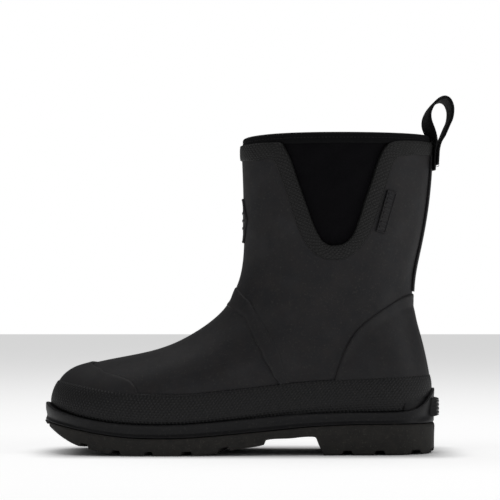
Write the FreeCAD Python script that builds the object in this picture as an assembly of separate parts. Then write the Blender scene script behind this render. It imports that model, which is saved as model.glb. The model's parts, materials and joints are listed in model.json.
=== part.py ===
import FreeCAD, Part
import os
from math import cos, hypot, pi, sqrt

# Left pull-on boot, in millimetres. The toe points along -X, the lateral side along -Y, and the sole
# stands on Z = 0. Every piece of the upper is a layer of one boot-shaped surface, given in the side
# view and by its half-widths, and moved in or out by the depths named below.

# Front profile of the rubber shell, from the sole to the collar: x, z, and the height at which the
# same row of the surface leaves the back profile.
FRONT_PROFILE = [
    (-157.0, -4.0, -4.0),
    (-158.6, 14.0, 14.0),
    (-159.3, 32.0, 32.0),
    (-156.3, 48.0, 44.0),
    (-150.5, 58.8, 50.0),
    (-143.0, 65.0, 54.0),
    (-134.0, 68.6, 57.0),
    (-117.0, 72.5, 60.0),
    (-98.0, 76.0, 64.0),
    (-80.0, 80.0, 68.0),
    (-62.0, 86.0, 73.0),
    (-46.0, 94.0, 79.0),
    (-32.0, 103.5, 86.0),
    (-20.0, 115.0, 95.0),
    (-12.5, 127.5, 106.0),
    (-7.5, 141.0, 121.0),
    (-5.5, 158.0, 142.0),
    (-5.2, 178.0, 167.0),
    (-5.4, 200.0, 193.0),
    (-6.5, 222.0, 219.0),
    (-7.0, 243.0, 243.0),
    (-7.0, 262.0, 262.0),
]
TOE_CORNER = 6  # the row of the front profile where the toe face turns into the ridge of the vamp

# Back profile: z, x.
BACK_PROFILE = [
    (-4.0, 143.6),
    (30.0, 144.5),
    (48.0, 144.1),
    (64.0, 142.0),
    (86.0, 137.2),
    (106.0, 131.8),
    (122.0, 129.6),
    (142.0, 131.0),
    (167.0, 136.4),
    (193.0, 141.0),
    (219.0, 143.8),
    (262.0, 146.0),
]

# Plan of the foot: x, lateral half-width, medial half-width, sideways place of the centre line.
FOOT_PLAN = [
    (-170.0, 44.0, 44.0, 6.0),
    (-120.0, 49.0, 47.0, 4.0),
    (-80.0, 51.5, 48.5, 2.0),
    (-40.0, 48.5, 44.5, 0.0),
    (0.0, 43.0, 39.0, 0.0),
    (50.0, 38.5, 35.5, 0.0),
    (100.0, 37.0, 36.5, 0.0),
    (160.0, 37.0, 37.0, 0.0),
]

SHAFT_WIDTH = [(60.0, 38.0), (110.0, 39.0), (150.0, 42.0), (200.0, 46.5), (262.0, 50.5)]
FOOT_TO_SHAFT = (60.0, 150.0)  # heights between which the foot's widths turn into the shaft's
TOE_ROUND = 52.0  # how far back from the toe the plan keeps widening
FRONT_ROUND = [(60.0, 30.0), (76.0, 33.0), (90.0, 40.0), (112.0, 52.0), (142.0, 66.0), (262.0, 76.5)]
BACK_ROUND = [(40.0, 38.0), (90.0, 42.0), (130.0, 58.0), (165.0, 69.0), (262.0, 76.5)]

# Depths of the layers from the outer face of the rubber, outwards positive.
GAP = 0.2
RUBBER = 2.0
STIFFENER = (-RUBBER - 0.3, -RUBBER - 1.3)
BOOTIE_LEG = (-RUBBER - 0.3, -6.8)
BOOTIE_FOOT = (-RUBBER - 1.5, -7.0)
LINING = (-7.2, -8.0)
OVERLAY = 1.3
FOXING = 2.2
TRIM = 1.6
MIDSOLE_FLARE = 3.8
OUTSOLE_FLARE = 3.6
KICK_BLOCK = 6.8

# Levels of the sole in the side view, as points from toe to heel.
SOLE_BOTTOM = [
    (-168.0, 30.0),
    (-156.0, 16.0),
    (-141.0, 7.6),
    (-122.0, 2.8),
    (-100.0, 0.3),
    (-84.0, 0.0),
]
ARCH_START = [(-50.0, 0.0), (-30.0, 1.4), (-12.0, 4.6), (10.0, 8.2)]
ARCH = [(12.0, 11.6), (30.0, 13.0), (50.0, 14.0)]
GROOVE_LINE = [
    (-172.0, 28.0),
    (-158.0, 24.2),
    (-130.0, 18.6),
    (-108.0, 15.2),
    (-86.0, 13.5),
    (-52.0, 13.6),
    (-20.0, 15.8),
    (15.0, 18.9),
    (52.0, 22.2),
    (90.0, 23.6),
    (160.0, 23.6),
]
MIDSOLE_TOP = [
    (-172.0, 46.0),
    (-160.0, 38.4),
    (-150.0, 33.6),
    (-124.0, 27.4),
    (-92.0, 24.0),
    (-56.0, 23.9),
    (-18.0, 26.6),
    (30.0, 31.0),
    (75.0, 32.9),
    (112.0, 33.2),
    (127.0, 34.6),
    (136.0, 38.6),
    (143.0, 45.6),
    (152.0, 58.0),
]
FOXING_TOP = [
    (-172.0, 58.4),
    (-152.0, 57.3),
    (-138.0, 55.4),
    (-106.0, 50.6),
    (-84.0, 48.6),
    (-52.0, 48.0),
    (-18.0, 50.8),
    (36.0, 56.6),
    (98.0, 60.7),
    (160.0, 63.4),
]
FEATHER_LINE = [
    (-172.0, 36.6),
    (-150.0, 30.8),
    (-124.0, 25.4),
    (-92.0, 22.5),
    (-56.0, 22.4),
    (-18.0, 25.0),
    (30.0, 29.3),
    (75.0, 31.3),
    (112.0, 31.7),
    (160.0, 31.7),
]
BOARD = (0.3, 1.9)  # heights above the feather line
BOOTIE_SOLE = (2.1, 5.1)
FOOTBED = (5.5, 10.5)
FOOTBED_COVER = (10.7, 11.7)

TRIM_TOP = 244.0
TRIM_WIDTH = 11.4
BOOTIE_TOP = 249.6
COLLAR_TOP = 252.0
BINDING_DEPTH = 8.0
SLIVER = 0.1  # solids smaller than this, in mm3, are cutting waste
HALF_SPACE = 120.0  # side-view outlines are extruded this far each way

# Side opening in the rubber, from its front top corner round to its rear top corner.
SIDE_OPENING = [
    (24.0, 246.0),
    (30.7, 232.0),
    (35.2, 219.0),
    (40.9, 203.0),
    (48.0, 183.5),
    (55.4, 168.0),
    (65.0, 163.2),
    (76.5, 167.0),
    (85.2, 184.5),
    (90.4, 199.0),
    (95.2, 213.5),
    (99.2, 226.0),
    (104.0, 238.0),
    (112.0, 246.0),
]

BADGE = [(-6.0, 200.0), (6.0, 200.0), (13.5, 185.0), (6.0, 168.0), (-6.0, 168.0), (-13.5, 185.0)]
LABEL = [(107.5, 207.6), (115.2, 204.8), (105.6, 172.8), (98.4, 174.4)]

LOOP_WIDTH = 20.0
LOOP_YAW = 9.0  # degrees that the webbing is twisted about Z
LOOP_OUTER = [
    (150.0, 245.6),
    (146.4, 251.4),
    (142.6, 257.2),
    (139.8, 263.4),
    (141.0, 270.8),
    (145.6, 278.6),
    (151.8, 283.4),
    (157.4, 282.4),
    (161.0, 276.6),
    (161.6, 268.2),
    (158.6, 259.2),
    (153.6, 249.8),
]
LOOP_INNER = [
    (150.6, 251.6),
    (146.8, 257.6),
    (143.2, 264.0),
    (144.0, 270.4),
    (148.0, 277.2),
    (152.4, 280.8),
    (156.4, 279.8),
    (158.8, 275.4),
    (159.2, 268.2),
    (156.4, 260.0),
    (152.6, 253.2),
]
WEBBING = 2.2
HINGE = (150.2, 245.0)
TAIL_BOTTOM = 224.0
TAIL_THREAD_X = 149.6
THREAD = 0.6
STITCH = 3.0
STITCH_PITCH = 6.0
STITCH_LEVEL = 247.6

# Tread notches across the sole: front edge, lowest level of the tread there, depth and width.
TREAD_NOTCHES = [
    (-131.0, 3.6, 3.0, 7.0),
    (-104.0, 0.0, 3.4, 7.0),
    (-78.0, 0.0, 3.4, 7.0),
    (-50.0, 0.0, 3.6, 8.0),
    (-22.0, 3.0, 3.4, 8.0),
    (72.0, 0.0, 2.8, 8.0),
    (97.0, 0.0, 2.8, 8.0),
    (124.0, 0.0, 2.8, 7.0),
]
KICK_BOX = (130.0, 170.0, -24.0, 24.0, 28.5, 43.5)
KICK_GROOVES = (31.6, 34.6, 37.6, 40.6)
SHANK_LINE = [(-30.0, 23.6), (10.0, 27.2), (50.0, 30.1), (90.0, 31.2)]
SHANK_BOX = (-30.0, 85.0, -9.0, 9.0, 15.0, 40.0)
FILLER_BOX = (-130.0, -34.0, -60.0, 60.0, 10.0, 40.0)

# Line on which the vamp meets the shaft, front to rear, and half the width of the strip over it.
VAMP_SEAM = [(-40.0, 128.0), (-7.0, 115.0), (1.5, 100.0), (12.0, 80.0), (24.0, 55.0), (38.0, 20.0)]
STRIP_HALF_WIDTH = 4.5
SEAM_GAP = 0.25

# Rear edge of the toe cap, from the top down.
TOE_CAP_EDGE = [
    (-122.0, 90.0),
    (-121.0, 66.0),
    (-107.0, 62.0),
    (-94.0, 58.2),
    (-89.0, 53.8),
    (-86.0, 40.0),
]

# Front edge of the heel overlay, from the back down.
HEEL_OVERLAY_EDGE = [
    (128.0, 125.6),
    (116.0, 120.6),
    (105.0, 114.2),
    (94.5, 106.8),
    (85.0, 98.8),
    (78.5, 90.6),
    (73.0, 80.4),
    (68.8, 70.0),
    (64.0, 50.0),
]
HEEL_OVERLAY_TOP = 130.0

# Underside of the heel and its rounded rear corner.
HEEL_LINE = [(57.0, 0.0), (142.0, 0.0)]
HEEL_CORNER = [(142.0, 0.0), (147.0, 2.0), (149.0, 8.0)]

# Back stay: half its width and its lower end.
STAY_HALF_WIDTH = 8.0
STAY_BOTTOM = 127.6

# Height at which the foot pieces of the bootie and lining meet the leg pieces.
ANKLE_SPLIT = 112.0
ANKLE_GAP = 0.4

# How far the toe puff reaches back, how far the heel stiffener reaches forward, and its top.
TOE_PUFF_REAR = -98.0
STIFFENER_FRONT = 76.0
STIFFENER_TOP = 110.0

# Ends of a working block that is larger than the boot.
FAR_FRONT = -190.0
FAR_REAR = 170.0
FAR_TOP = 150.0

# Depths of the binding's outer and inner faces, of the bootie edge inside it, and of the footbed's edge.
BINDING_OUTER = (-1.2, -9.0)
BINDING_CORE = (-2.0, -8.2)
FOOTBED_EDGE = -9.6


def vector(x, y, z):
    """Return a point."""
    return FreeCAD.Vector(x, y, z)


def smooth(points, value):
    """Read a smooth curve through rows of (position, values...) at a position."""
    last = len(points) - 2
    index = 0
    while index < last and value > points[index + 1][0]:
        index += 1
    left, right = points[index], points[index + 1]
    before = points[max(index - 1, 0)]
    after = points[min(index + 2, len(points) - 1)]
    span = right[0] - left[0]
    part = min(max((value - left[0]) / span, 0.0), 1.0)
    result = []
    for a, b, c, d in zip(before[1:], left[1:], right[1:], after[1:]):
        start = span * (c - a) / (right[0] - before[0])
        end = span * (d - b) / (after[0] - left[0])
        h = part * part * (3.0 - 2.0 * part)
        result.append(
            b + (c - b) * h
            + start * part * (1.0 - part) ** 2
            - end * part * part * (1.0 - part)
        )
    return result if len(result) > 1 else result[0]


def front_row(row):
    """Return x, z and the back height of the front profile at a row, which may lie between points."""
    rows = [(float(i), *point) for i, point in enumerate(FRONT_PROFILE)]
    return smooth(rows, row)


TOE_FACE = [(z, x) for x, z, _ in FRONT_PROFILE[: TOE_CORNER + 1]]
RIDGE = [(-172.0, 60.0)]
for step in range(2 * (len(FRONT_PROFILE) - 1 - TOE_CORNER) + 1):
    ridge_x, ridge_z, _ = front_row(TOE_CORNER + step / 2.0)
    RIDGE.append((ridge_x, ridge_z))
BACK_LINE = [(smooth(BACK_PROFILE, 6.0 * step), 6.0 * step) for step in range(44)]


def distance_to_line(x, z, line):
    """Return the distance from a side-view point to a polyline, and the height of the nearest point."""
    best = (1e9, 0.0)
    for (x0, z0), (x1, z1) in zip(line, line[1:]):
        length = hypot(x1 - x0, z1 - z0)
        along = ((x - x0) * (x1 - x0) + (z - z0) * (z1 - z0)) / (length * length)
        along = min(max(along, 0.0), 1.0)
        near_x = x0 + along * (x1 - x0)
        near_z = z0 + along * (z1 - z0)
        gap = hypot(x - near_x, z - near_z)
        if gap < best[0]:
            best = (gap, near_z)
    return best


def rounding(gap, radius):
    """Return how wide a rounded edge is, as a share of its full width, at a distance from the edge."""
    share = min(max(gap / radius, 0.0), 1.0)
    return sqrt(1.0 - (1.0 - share) ** 2)


def half_width(x, z, lateral):
    """Return the half-width of the boot at a side-view point, and its centre line's place."""
    side, other, centre = smooth(FOOT_PLAN, x)
    if not lateral:
        side = other
    low, high = FOOT_TO_SHAFT
    blend = min(max((z - low) / (high - low), 0.0), 1.0)
    blend = blend * blend * (3.0 - 2.0 * blend)
    width = side + (smooth(SHAFT_WIDTH, z) - side) * blend
    toe = rounding(x - smooth(TOE_FACE, min(z, TOE_FACE[-1][0])), TOE_ROUND)
    gap, height = distance_to_line(x, z, RIDGE)
    front = rounding(gap, smooth(FRONT_ROUND, height))
    gap, height = distance_to_line(x, z, BACK_LINE)
    back = rounding(gap, smooth(BACK_ROUND, height))
    return width * toe * front * back, centre * (1.0 - blend)


ROWS_PER_POINT = 2
AROUND = 40


def surface_grid():
    """Return the points of the rubber's outer face: rows from the sole up, each once round the boot."""
    grid = []
    for step in range((len(FRONT_PROFILE) - 1) * ROWS_PER_POINT + 1):
        front_x, front_z, back_z = front_row(step / ROWS_PER_POINT)
        back_x = smooth(BACK_PROFILE, back_z)
        row = []
        for turn in range(AROUND):
            angle = 2.0 * pi * turn / AROUND
            share = (1.0 - cos(angle)) / 2.0
            x = back_x + (front_x - back_x) * share
            z = back_z + (front_z - back_z) * share
            lateral = turn <= AROUND / 2
            width, centre = half_width(x, z, lateral)
            if turn in (0, AROUND // 2):
                width = 0.0
            row.append(vector(x, centre - width if lateral else centre + width, z))
        grid.append(row)
    return grid


def surface_normals(grid):
    """Return the outward normal at each point of the grid, kept level on the first and last rows."""
    last = len(grid) - 1
    normals = []
    for i, row in enumerate(grid):
        line = []
        for j in range(AROUND):
            around = row[(j + 1) % AROUND] - row[j - 1]
            upward = grid[min(i + 1, last)][j] - grid[max(i - 1, 0)][j]
            normal = upward.cross(around)
            if i in (0, last):
                normal.z = 0.0
            normal.normalize()
            line.append(normal)
        normals.append(line)
    return normals


GRID = surface_grid()
NORMALS = surface_normals(GRID)
FORMS = {}


def form(depth):
    """Return the closed boot form whose wall lies at a depth from the rubber's outer face."""
    if depth not in FORMS:
        poles = [[p + n * depth for p, n in zip(*rows)] for rows in zip(GRID, NORMALS)]
        spans = len(poles) - 3
        surface = Part.BSplineSurface()
        surface.buildFromPolesMultsKnots(
            poles,
            [4] + [1] * (spans - 1) + [4],
            [1] * (AROUND + 1),
            [float(i) for i in range(spans + 1)],
            [float(i) for i in range(AROUND + 1)],
            False,
            True,
            3,
            3,
        )
        side = surface.toShape()
        rims = [edge for edge in side.Edges if edge.BoundBox.ZLength < 0.01]
        caps = [Part.Face(Part.Wire([rim])) for rim in rims]
        solid = Part.makeSolid(Part.makeShell([side] + caps))
        if solid.Volume < 0:
            solid.reverse()
        FORMS[depth] = solid
    return FORMS[depth]


def curve_edge(points):
    """Return a smooth side-view edge through points, or a straight one through two."""
    places = [vector(x, 0.0, z) for x, z in points]
    if len(places) == 2:
        return Part.makeLine(places[0], places[1])
    curve = Part.BSplineCurve()
    curve.interpolate(places)
    return curve.toShape()


def prism(*stretches, lateral=True, medial=True):
    """Return a solid that fills a side-view outline, given as stretches joined end to end."""
    edges = []
    for stretch, following in zip(stretches, stretches[1:] + stretches[:1]):
        edges.append(curve_edge(stretch))
        if hypot(stretch[-1][0] - following[0][0], stretch[-1][1] - following[0][1]) > 1e-6:
            edges.append(curve_edge([stretch[-1], following[0]]))
    start = -HALF_SPACE if lateral else 0.0
    end = HALF_SPACE if medial else 0.0
    face = Part.Face(Part.Wire(edges))
    face.translate(vector(0.0, start, 0.0))
    return face.extrude(vector(0.0, end - start, 0.0))


def raised(line, height):
    """Return a side-view line moved up."""
    return [(x, z + height) for x, z in line]


def between(lower, upper, **sides):
    """Return the solid between two side-view lines that both run from toe to heel."""
    return prism(lower, list(reversed(upper)), **sides)


def band(line, width):
    """Return the two edges of a strip of one width that lies on the left of a side-view line."""
    edge = []
    for i, (x, z) in enumerate(line):
        x0, z0 = line[max(i - 1, 0)]
        x1, z1 = line[min(i + 1, len(line) - 1)]
        length = hypot(x1 - x0, z1 - z0)
        edge.append((x - width * (z1 - z0) / length, z + width * (x1 - x0) / length))
    return edge


def block(x0, x1, y0, y1, z0, z1):
    """Return a box between two corners."""
    return Part.makeBox(x1 - x0, y1 - y0, z1 - z0, vector(x0, y0, z0))


def layer(outer, inner, region):
    """Return the part of a wall between two depths that lies inside a region."""
    return form(outer).common(region).cut(form(inner))


def save(name, shape):
    """Write one piece as a STEP file named after its node."""
    solids = [solid for solid in shape.Solids if solid.Volume > SLIVER]
    shape = solids[0] if len(solids) == 1 else Part.makeCompound(solids)
    print(name, len(solids), "solids", round(shape.Volume, 1), "mm3", shape.isValid())
    shape.exportStep(f"parts/{name}.step")


def sole_unit():
    """Build the outsole, midsole, filler, shank, kick block and board."""
    bottom = prism(
        SOLE_BOTTOM,
        [SOLE_BOTTOM[-1], ARCH_START[0]],
        ARCH_START,
        [ARCH_START[-1], ARCH[0]],
        ARCH,
        [ARCH[-1], HEEL_LINE[0]],
        HEEL_LINE,
        HEEL_CORNER,
        [(160.0, 8.0), GROOVE_LINE[-1]],
        list(reversed(GROOVE_LINE)),
    )
    outsole = form(OUTSOLE_FLARE).common(bottom)
    for x, base, depth, width in TREAD_NOTCHES:
        outsole = outsole.cut(block(x, x + width, -HALF_SPACE, HALF_SPACE, -1.0, base + depth))
    save("outsole", outsole)

    shank = between(raised(SHANK_LINE, -2.0), SHANK_LINE).common(block(*SHANK_BOX))
    shank_slot = between(raised(SHANK_LINE, -2.0), raised(SHANK_LINE, 4.0)).common(block(*SHANK_BOX))
    recess_walls = block(*FILLER_BOX).common(form(-9.0))
    filler = between(raised(FEATHER_LINE, -5.0), raised(FEATHER_LINE, -0.1)).common(recess_walls)
    recess = between(raised(FEATHER_LINE, -5.0), raised(FEATHER_LINE, 4.0)).common(recess_walls)
    midsole = form(MIDSOLE_FLARE).common(between(raised(GROOVE_LINE, GAP), MIDSOLE_TOP))
    foot_well = form(GAP).common(between(FEATHER_LINE, raised(FEATHER_LINE, 60.0)))
    midsole = midsole.cut(foot_well).cut(shank_slot).cut(recess)
    save("midsole", midsole)
    save("shank", shank)
    save("midsole_filler", filler)

    kick_block = layer(KICK_BLOCK, MIDSOLE_FLARE + GAP, block(*KICK_BOX))
    for z in KICK_GROOVES:
        kick_block = kick_block.cut(block(149.6, 170.0, -30.0, 30.0, z, z + 1.2))
    save("heel_kick_block", kick_block)
    board = between(raised(FEATHER_LINE, BOARD[0]), raised(FEATHER_LINE, BOARD[1]))
    save("insole_board", form(-RUBBER - 0.3).common(board))


def rubber_shell():
    """Build the rubber panels and the pieces bonded on them."""
    opening = prism(SIDE_OPENING)
    seam_foot = VAMP_SEAM[-1]
    seam_head = VAMP_SEAM[0]
    foot_side = prism(
        [seam_foot, (FAR_FRONT, seam_foot[1])],
        [(FAR_FRONT, seam_head[1]), seam_head],
        VAMP_SEAM,
    )
    shell_region = between(MIDSOLE_TOP, [(FAR_FRONT, TRIM_TOP), (FAR_REAR, TRIM_TOP)])
    shell = layer(0.0, -RUBBER, shell_region)
    save("vamp_panel", shell.common(foot_side))
    gap_seam = [(x + SEAM_GAP, z) for x, z in VAMP_SEAM]
    gap_side = prism(
        [gap_seam[-1], (FAR_FRONT, seam_foot[1])],
        [(FAR_FRONT, seam_head[1] + 1.0), (seam_head[0], seam_head[1] + 1.0)],
        gap_seam,
    )
    save("shaft_panel", shell.cut(gap_side).cut(opening))

    strip_line = VAMP_SEAM[1:-1]
    strip_rear = list(reversed(band(strip_line, STRIP_HALF_WIDTH)))
    strip = prism(band(strip_line, -STRIP_HALF_WIDTH), strip_rear)
    above_foxing = between(raised(FOXING_TOP, GAP), [(FAR_FRONT, FAR_TOP), (FAR_REAR, FAR_TOP)])
    overlay = layer(OVERLAY, GAP, above_foxing)
    save("instep_strip", overlay.common(strip))

    cap_front = [(FAR_FRONT, TOE_CAP_EDGE[-1][1]), (FAR_FRONT, TOE_CAP_EDGE[0][1])]
    save("toe_cap", overlay.common(prism(TOE_CAP_EDGE, cap_front)))

    edge_head = HEEL_OVERLAY_EDGE[0]
    edge_foot = HEEL_OVERLAY_EDGE[-1]
    heel_region = prism(
        [(FAR_REAR, HEEL_OVERLAY_TOP), edge_head],
        HEEL_OVERLAY_EDGE,
        [edge_foot, (FAR_REAR, edge_foot[1])],
    )
    save("heel_overlay", overlay.common(heel_region))
    save("foxing_band", layer(FOXING, GAP, between(raised(MIDSOLE_TOP, GAP), FOXING_TOP)))

    cut_edge = band(SIDE_OPENING, -TRIM_WIDTH)
    under = TRIM_TOP - TRIM_WIDTH
    front_end = SIDE_OPENING[0][0] + 3.0
    rear_end = SIDE_OPENING[-1][0] - 3.0
    front_part = block(FAR_FRONT, front_end, -HALF_SPACE, HALF_SPACE, under, TRIM_TOP)
    rear_part = block(rear_end, FAR_REAR, -HALF_SPACE, HALF_SPACE, under - 1.0, TRIM_TOP)
    below_top = block(FAR_FRONT, FAR_REAR, -HALF_SPACE, HALF_SPACE, 0.0, TRIM_TOP)
    round_part = prism(cut_edge, list(reversed(SIDE_OPENING))).common(below_top)
    trim_region = front_part.fuse([rear_part, round_part]).cut(opening)
    save("collar_trim", layer(TRIM, GAP, trim_region))

    stay_top = under - 1.0 - 0.3
    stay_region = block(100.0, FAR_REAR, -STAY_HALF_WIDTH, STAY_HALF_WIDTH, STAY_BOTTOM, stay_top)
    save("back_stay", layer(OVERLAY - 0.3, GAP, stay_region))
    badge = Part.makePolygon([vector(-30.0, y, z) for y, z in BADGE + BADGE[:1]])
    badge_region = Part.Face(badge).extrude(vector(60.0, 0.0, 0.0))
    save("front_badge", layer(OVERLAY, GAP, badge_region))
    sides = [[a, b] for a, b in zip(LABEL, LABEL[1:] + LABEL[:1])]
    save("side_label", layer(OVERLAY + 0.4, GAP, prism(*sides, medial=False)))


def inside():
    """Build the stiffeners, the neoprene bootie, its lining and binding, and the footbed."""
    foot_top = [(FAR_FRONT, ANKLE_SPLIT), (FAR_REAR, ANKLE_SPLIT)]
    across = (-HALF_SPACE, HALF_SPACE)
    above_board = between(raised(FEATHER_LINE, BOOTIE_SOLE[0]), foot_top)
    toe_block = block(FAR_FRONT, TOE_PUFF_REAR, *across, 0.0, ANKLE_SPLIT)
    heel_block = block(STIFFENER_FRONT, FAR_REAR, *across, 0.0, STIFFENER_TOP)
    save("toe_puff", layer(*STIFFENER, above_board.common(toe_block)))
    save("heel_stiffener", layer(*STIFFENER, above_board.common(heel_block)))
    save("bootie_foot", layer(*BOOTIE_FOOT, above_board))
    leg_block = block(FAR_FRONT, FAR_REAR, *across, ANKLE_SPLIT + ANKLE_GAP, BOOTIE_TOP)
    save("bootie_leg", layer(*BOOTIE_LEG, leg_block))
    sole = between(raised(FEATHER_LINE, BOOTIE_SOLE[0]), raised(FEATHER_LINE, BOOTIE_SOLE[1]))
    save("bootie_sole", form(LINING[0]).common(sole))
    lining_region = between(raised(FEATHER_LINE, BOOTIE_SOLE[1] + GAP), foot_top)
    save("lining_foot", layer(*LINING, lining_region))
    save("lining_leg", layer(*LINING, leg_block))

    rim_bottom = COLLAR_TOP - BINDING_DEPTH + 1.0
    rim = layer(*BINDING_OUTER, block(FAR_FRONT, FAR_REAR, *across, rim_bottom, COLLAR_TOP))
    core_top = BOOTIE_TOP + GAP
    core = layer(*BINDING_CORE, block(FAR_FRONT, FAR_REAR, *across, rim_bottom - 1.0, core_top))
    save("top_binding", rim.cut(core))

    bed = between(raised(FEATHER_LINE, FOOTBED[0]), raised(FEATHER_LINE, FOOTBED[1]))
    cover = between(raised(FEATHER_LINE, FOOTBED_COVER[0]), raised(FEATHER_LINE, FOOTBED_COVER[1]))
    save("footbed", form(FOOTBED_EDGE).common(bed))
    save("footbed_cover", form(FOOTBED_EDGE).common(cover))


def closed_outline(points, y):
    """Return a face inside a smooth closed side-view curve, at one Y."""
    curve = Part.BSplineCurve()
    curve.interpolate([vector(x, y, z) for x, z in points], PeriodicFlag=True)
    return Part.Face(Part.Wire([curve.toShape()]))


def pull_loop():
    """Build the webbing loop, its sewn tail and the threads of the tail."""
    half = LOOP_WIDTH / 2.0
    webbing = closed_outline(LOOP_OUTER, -half).extrude(vector(0.0, LOOP_WIDTH, 0.0))
    hole = closed_outline(LOOP_INNER, -half - 1.0).extrude(vector(0.0, LOOP_WIDTH + 2.0, 0.0))
    webbing = webbing.cut(hole)
    webbing.rotate(vector(HINGE[0], 0.0, 0.0), vector(0.0, 0.0, 1.0), LOOP_YAW)
    save("pull_loop", webbing)

    inner = TRIM + GAP
    tail_region = block(120.0, 170.0, -half, half, TAIL_BOTTOM, HINGE[1] - 0.3)
    save("pull_tail", layer(inner + WEBBING, inner, tail_region))
    threads = []
    for z in (TAIL_BOTTOM + 2.5, TAIL_BOTTOM + 16.0):
        for step in range(4):
            threads.append(thread((TAIL_THREAD_X, -7.0 + 3.8 * step, z), (0.0, 1.0, 0.0)))
    for y in (-7.6, 7.6):
        for step in range(3):
            threads.append(thread((TAIL_THREAD_X, y, TAIL_BOTTOM + 3.4 + 4.2 * step), (0.0, 0.0, 1.0)))
    save("tail_stitches", Part.makeCompound(threads))


def thread(start, direction):
    """Return one visible stitch, a short straight length of thread."""
    return Part.makeCylinder(THREAD / 2.0, STITCH, vector(*start), vector(*direction))


def binding_stitches():
    """Build the row of stitches round the top binding."""
    row = [p + n * (THREAD / 2.0 - 1.1) for p, n in zip(GRID[-3], NORMALS[-3])]
    curve = Part.BSplineCurve()
    curve.interpolate([vector(p.x, p.y, STITCH_LEVEL) for p in row], PeriodicFlag=True)
    count = int(curve.length() / STITCH_PITCH)
    threads = []
    for index in range(count):
        start = curve.value(curve.parameterAtDistance(curve.length() * index / count))
        ahead = curve.value(curve.parameterAtDistance(curve.length() * index / count + STITCH))
        direction = ahead - start
        direction.normalize()
        threads.append(thread(tuple(start), tuple(direction)))
    save("binding_stitches", Part.makeCompound(threads))


os.makedirs("parts", exist_ok=True)
sole_unit()
rubber_shell()
inside()
pull_loop()
binding_stitches()
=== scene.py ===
"""Black pull-on boot: rubber shell on a neoprene bootie, lugged sole and a webbing pull loop."""

import json
import logging
import math
from dataclasses import dataclass, field
from enum import Enum

import bmesh
import bpy
import numpy as np
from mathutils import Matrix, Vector

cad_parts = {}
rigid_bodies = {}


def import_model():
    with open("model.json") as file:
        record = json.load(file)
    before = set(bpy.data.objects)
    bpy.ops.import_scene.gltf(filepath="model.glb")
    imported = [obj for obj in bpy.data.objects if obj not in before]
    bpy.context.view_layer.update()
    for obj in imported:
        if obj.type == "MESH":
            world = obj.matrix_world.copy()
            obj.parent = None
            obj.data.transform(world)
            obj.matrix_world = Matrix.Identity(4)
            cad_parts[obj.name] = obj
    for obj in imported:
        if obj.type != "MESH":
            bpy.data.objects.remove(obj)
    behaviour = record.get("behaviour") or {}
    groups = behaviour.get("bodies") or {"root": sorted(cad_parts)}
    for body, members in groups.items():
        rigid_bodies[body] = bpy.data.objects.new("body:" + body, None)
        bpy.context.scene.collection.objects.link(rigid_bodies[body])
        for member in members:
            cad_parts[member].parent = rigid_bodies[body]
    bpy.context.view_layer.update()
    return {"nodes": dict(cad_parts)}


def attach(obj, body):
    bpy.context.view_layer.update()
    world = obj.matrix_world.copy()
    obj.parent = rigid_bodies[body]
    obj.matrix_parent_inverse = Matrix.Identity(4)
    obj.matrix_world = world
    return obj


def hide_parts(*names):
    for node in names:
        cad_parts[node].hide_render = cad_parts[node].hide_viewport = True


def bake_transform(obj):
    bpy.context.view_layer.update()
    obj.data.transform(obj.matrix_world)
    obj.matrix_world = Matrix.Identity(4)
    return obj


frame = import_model()

logging.basicConfig(level=logging.INFO, format="%(message)s")
LOG = logging.getLogger("boot")

MM = 0.001
BOOT = "boot"
LOOP = "pull_loop"

# ---------------------------------------------------------------- the boot-shaped surface, in mm

# Front profile: x, z, and the height at which the same row leaves the back profile.
FRONT_PROFILE = [
    (-157.0, -4.0, -4.0),
    (-158.6, 14.0, 14.0),
    (-159.3, 32.0, 32.0),
    (-156.3, 48.0, 44.0),
    (-150.5, 58.8, 50.0),
    (-143.0, 65.0, 54.0),
    (-134.0, 68.6, 57.0),
    (-117.0, 72.5, 60.0),
    (-98.0, 76.0, 64.0),
    (-80.0, 80.0, 68.0),
    (-62.0, 86.0, 73.0),
    (-46.0, 94.0, 79.0),
    (-32.0, 103.5, 86.0),
    (-20.0, 115.0, 95.0),
    (-12.5, 127.5, 106.0),
    (-7.5, 141.0, 121.0),
    (-5.5, 158.0, 142.0),
    (-5.2, 178.0, 167.0),
    (-5.4, 200.0, 193.0),
    (-6.5, 222.0, 219.0),
    (-7.0, 243.0, 243.0),
    (-7.0, 262.0, 262.0),
]
TOE_CORNER = 6
BACK_PROFILE = [
    (-4.0, 143.6), (30.0, 144.5), (48.0, 144.1), (64.0, 142.0), (86.0, 137.2), (106.0, 131.8),
    (122.0, 129.6), (142.0, 131.0), (167.0, 136.4), (193.0, 141.0), (219.0, 143.8), (262.0, 146.0),
]
# Plan of the foot: x, lateral half-width, medial half-width, sideways place of the centre line.
FOOT_PLAN = [
    (-170.0, 44.0, 44.0, 6.0),
    (-120.0, 49.0, 47.0, 4.0),
    (-80.0, 51.5, 48.5, 2.0),
    (-40.0, 48.5, 44.5, 0.0),
    (0.0, 43.0, 39.0, 0.0),
    (50.0, 38.5, 35.5, 0.0),
    (100.0, 37.0, 36.5, 0.0),
    (160.0, 37.0, 37.0, 0.0),
]
SHAFT_WIDTH = [(60.0, 38.0), (110.0, 39.0), (150.0, 42.0), (200.0, 46.5), (262.0, 50.5)]
FOOT_TO_SHAFT = (60.0, 150.0)
TOE_ROUND = 52.0
FRONT_ROUND = [(60.0, 30.0), (76.0, 33.0), (90.0, 40.0), (112.0, 52.0), (142.0, 66.0), (262.0, 76.5)]
BACK_ROUND = [(40.0, 38.0), (90.0, 42.0), (130.0, 58.0), (165.0, 69.0), (262.0, 76.5)]

# Where the ridge of the toe and instep starts (x, z), below the first corner of the profile.
RIDGE_START = (-172.0, 60.0)

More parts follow.
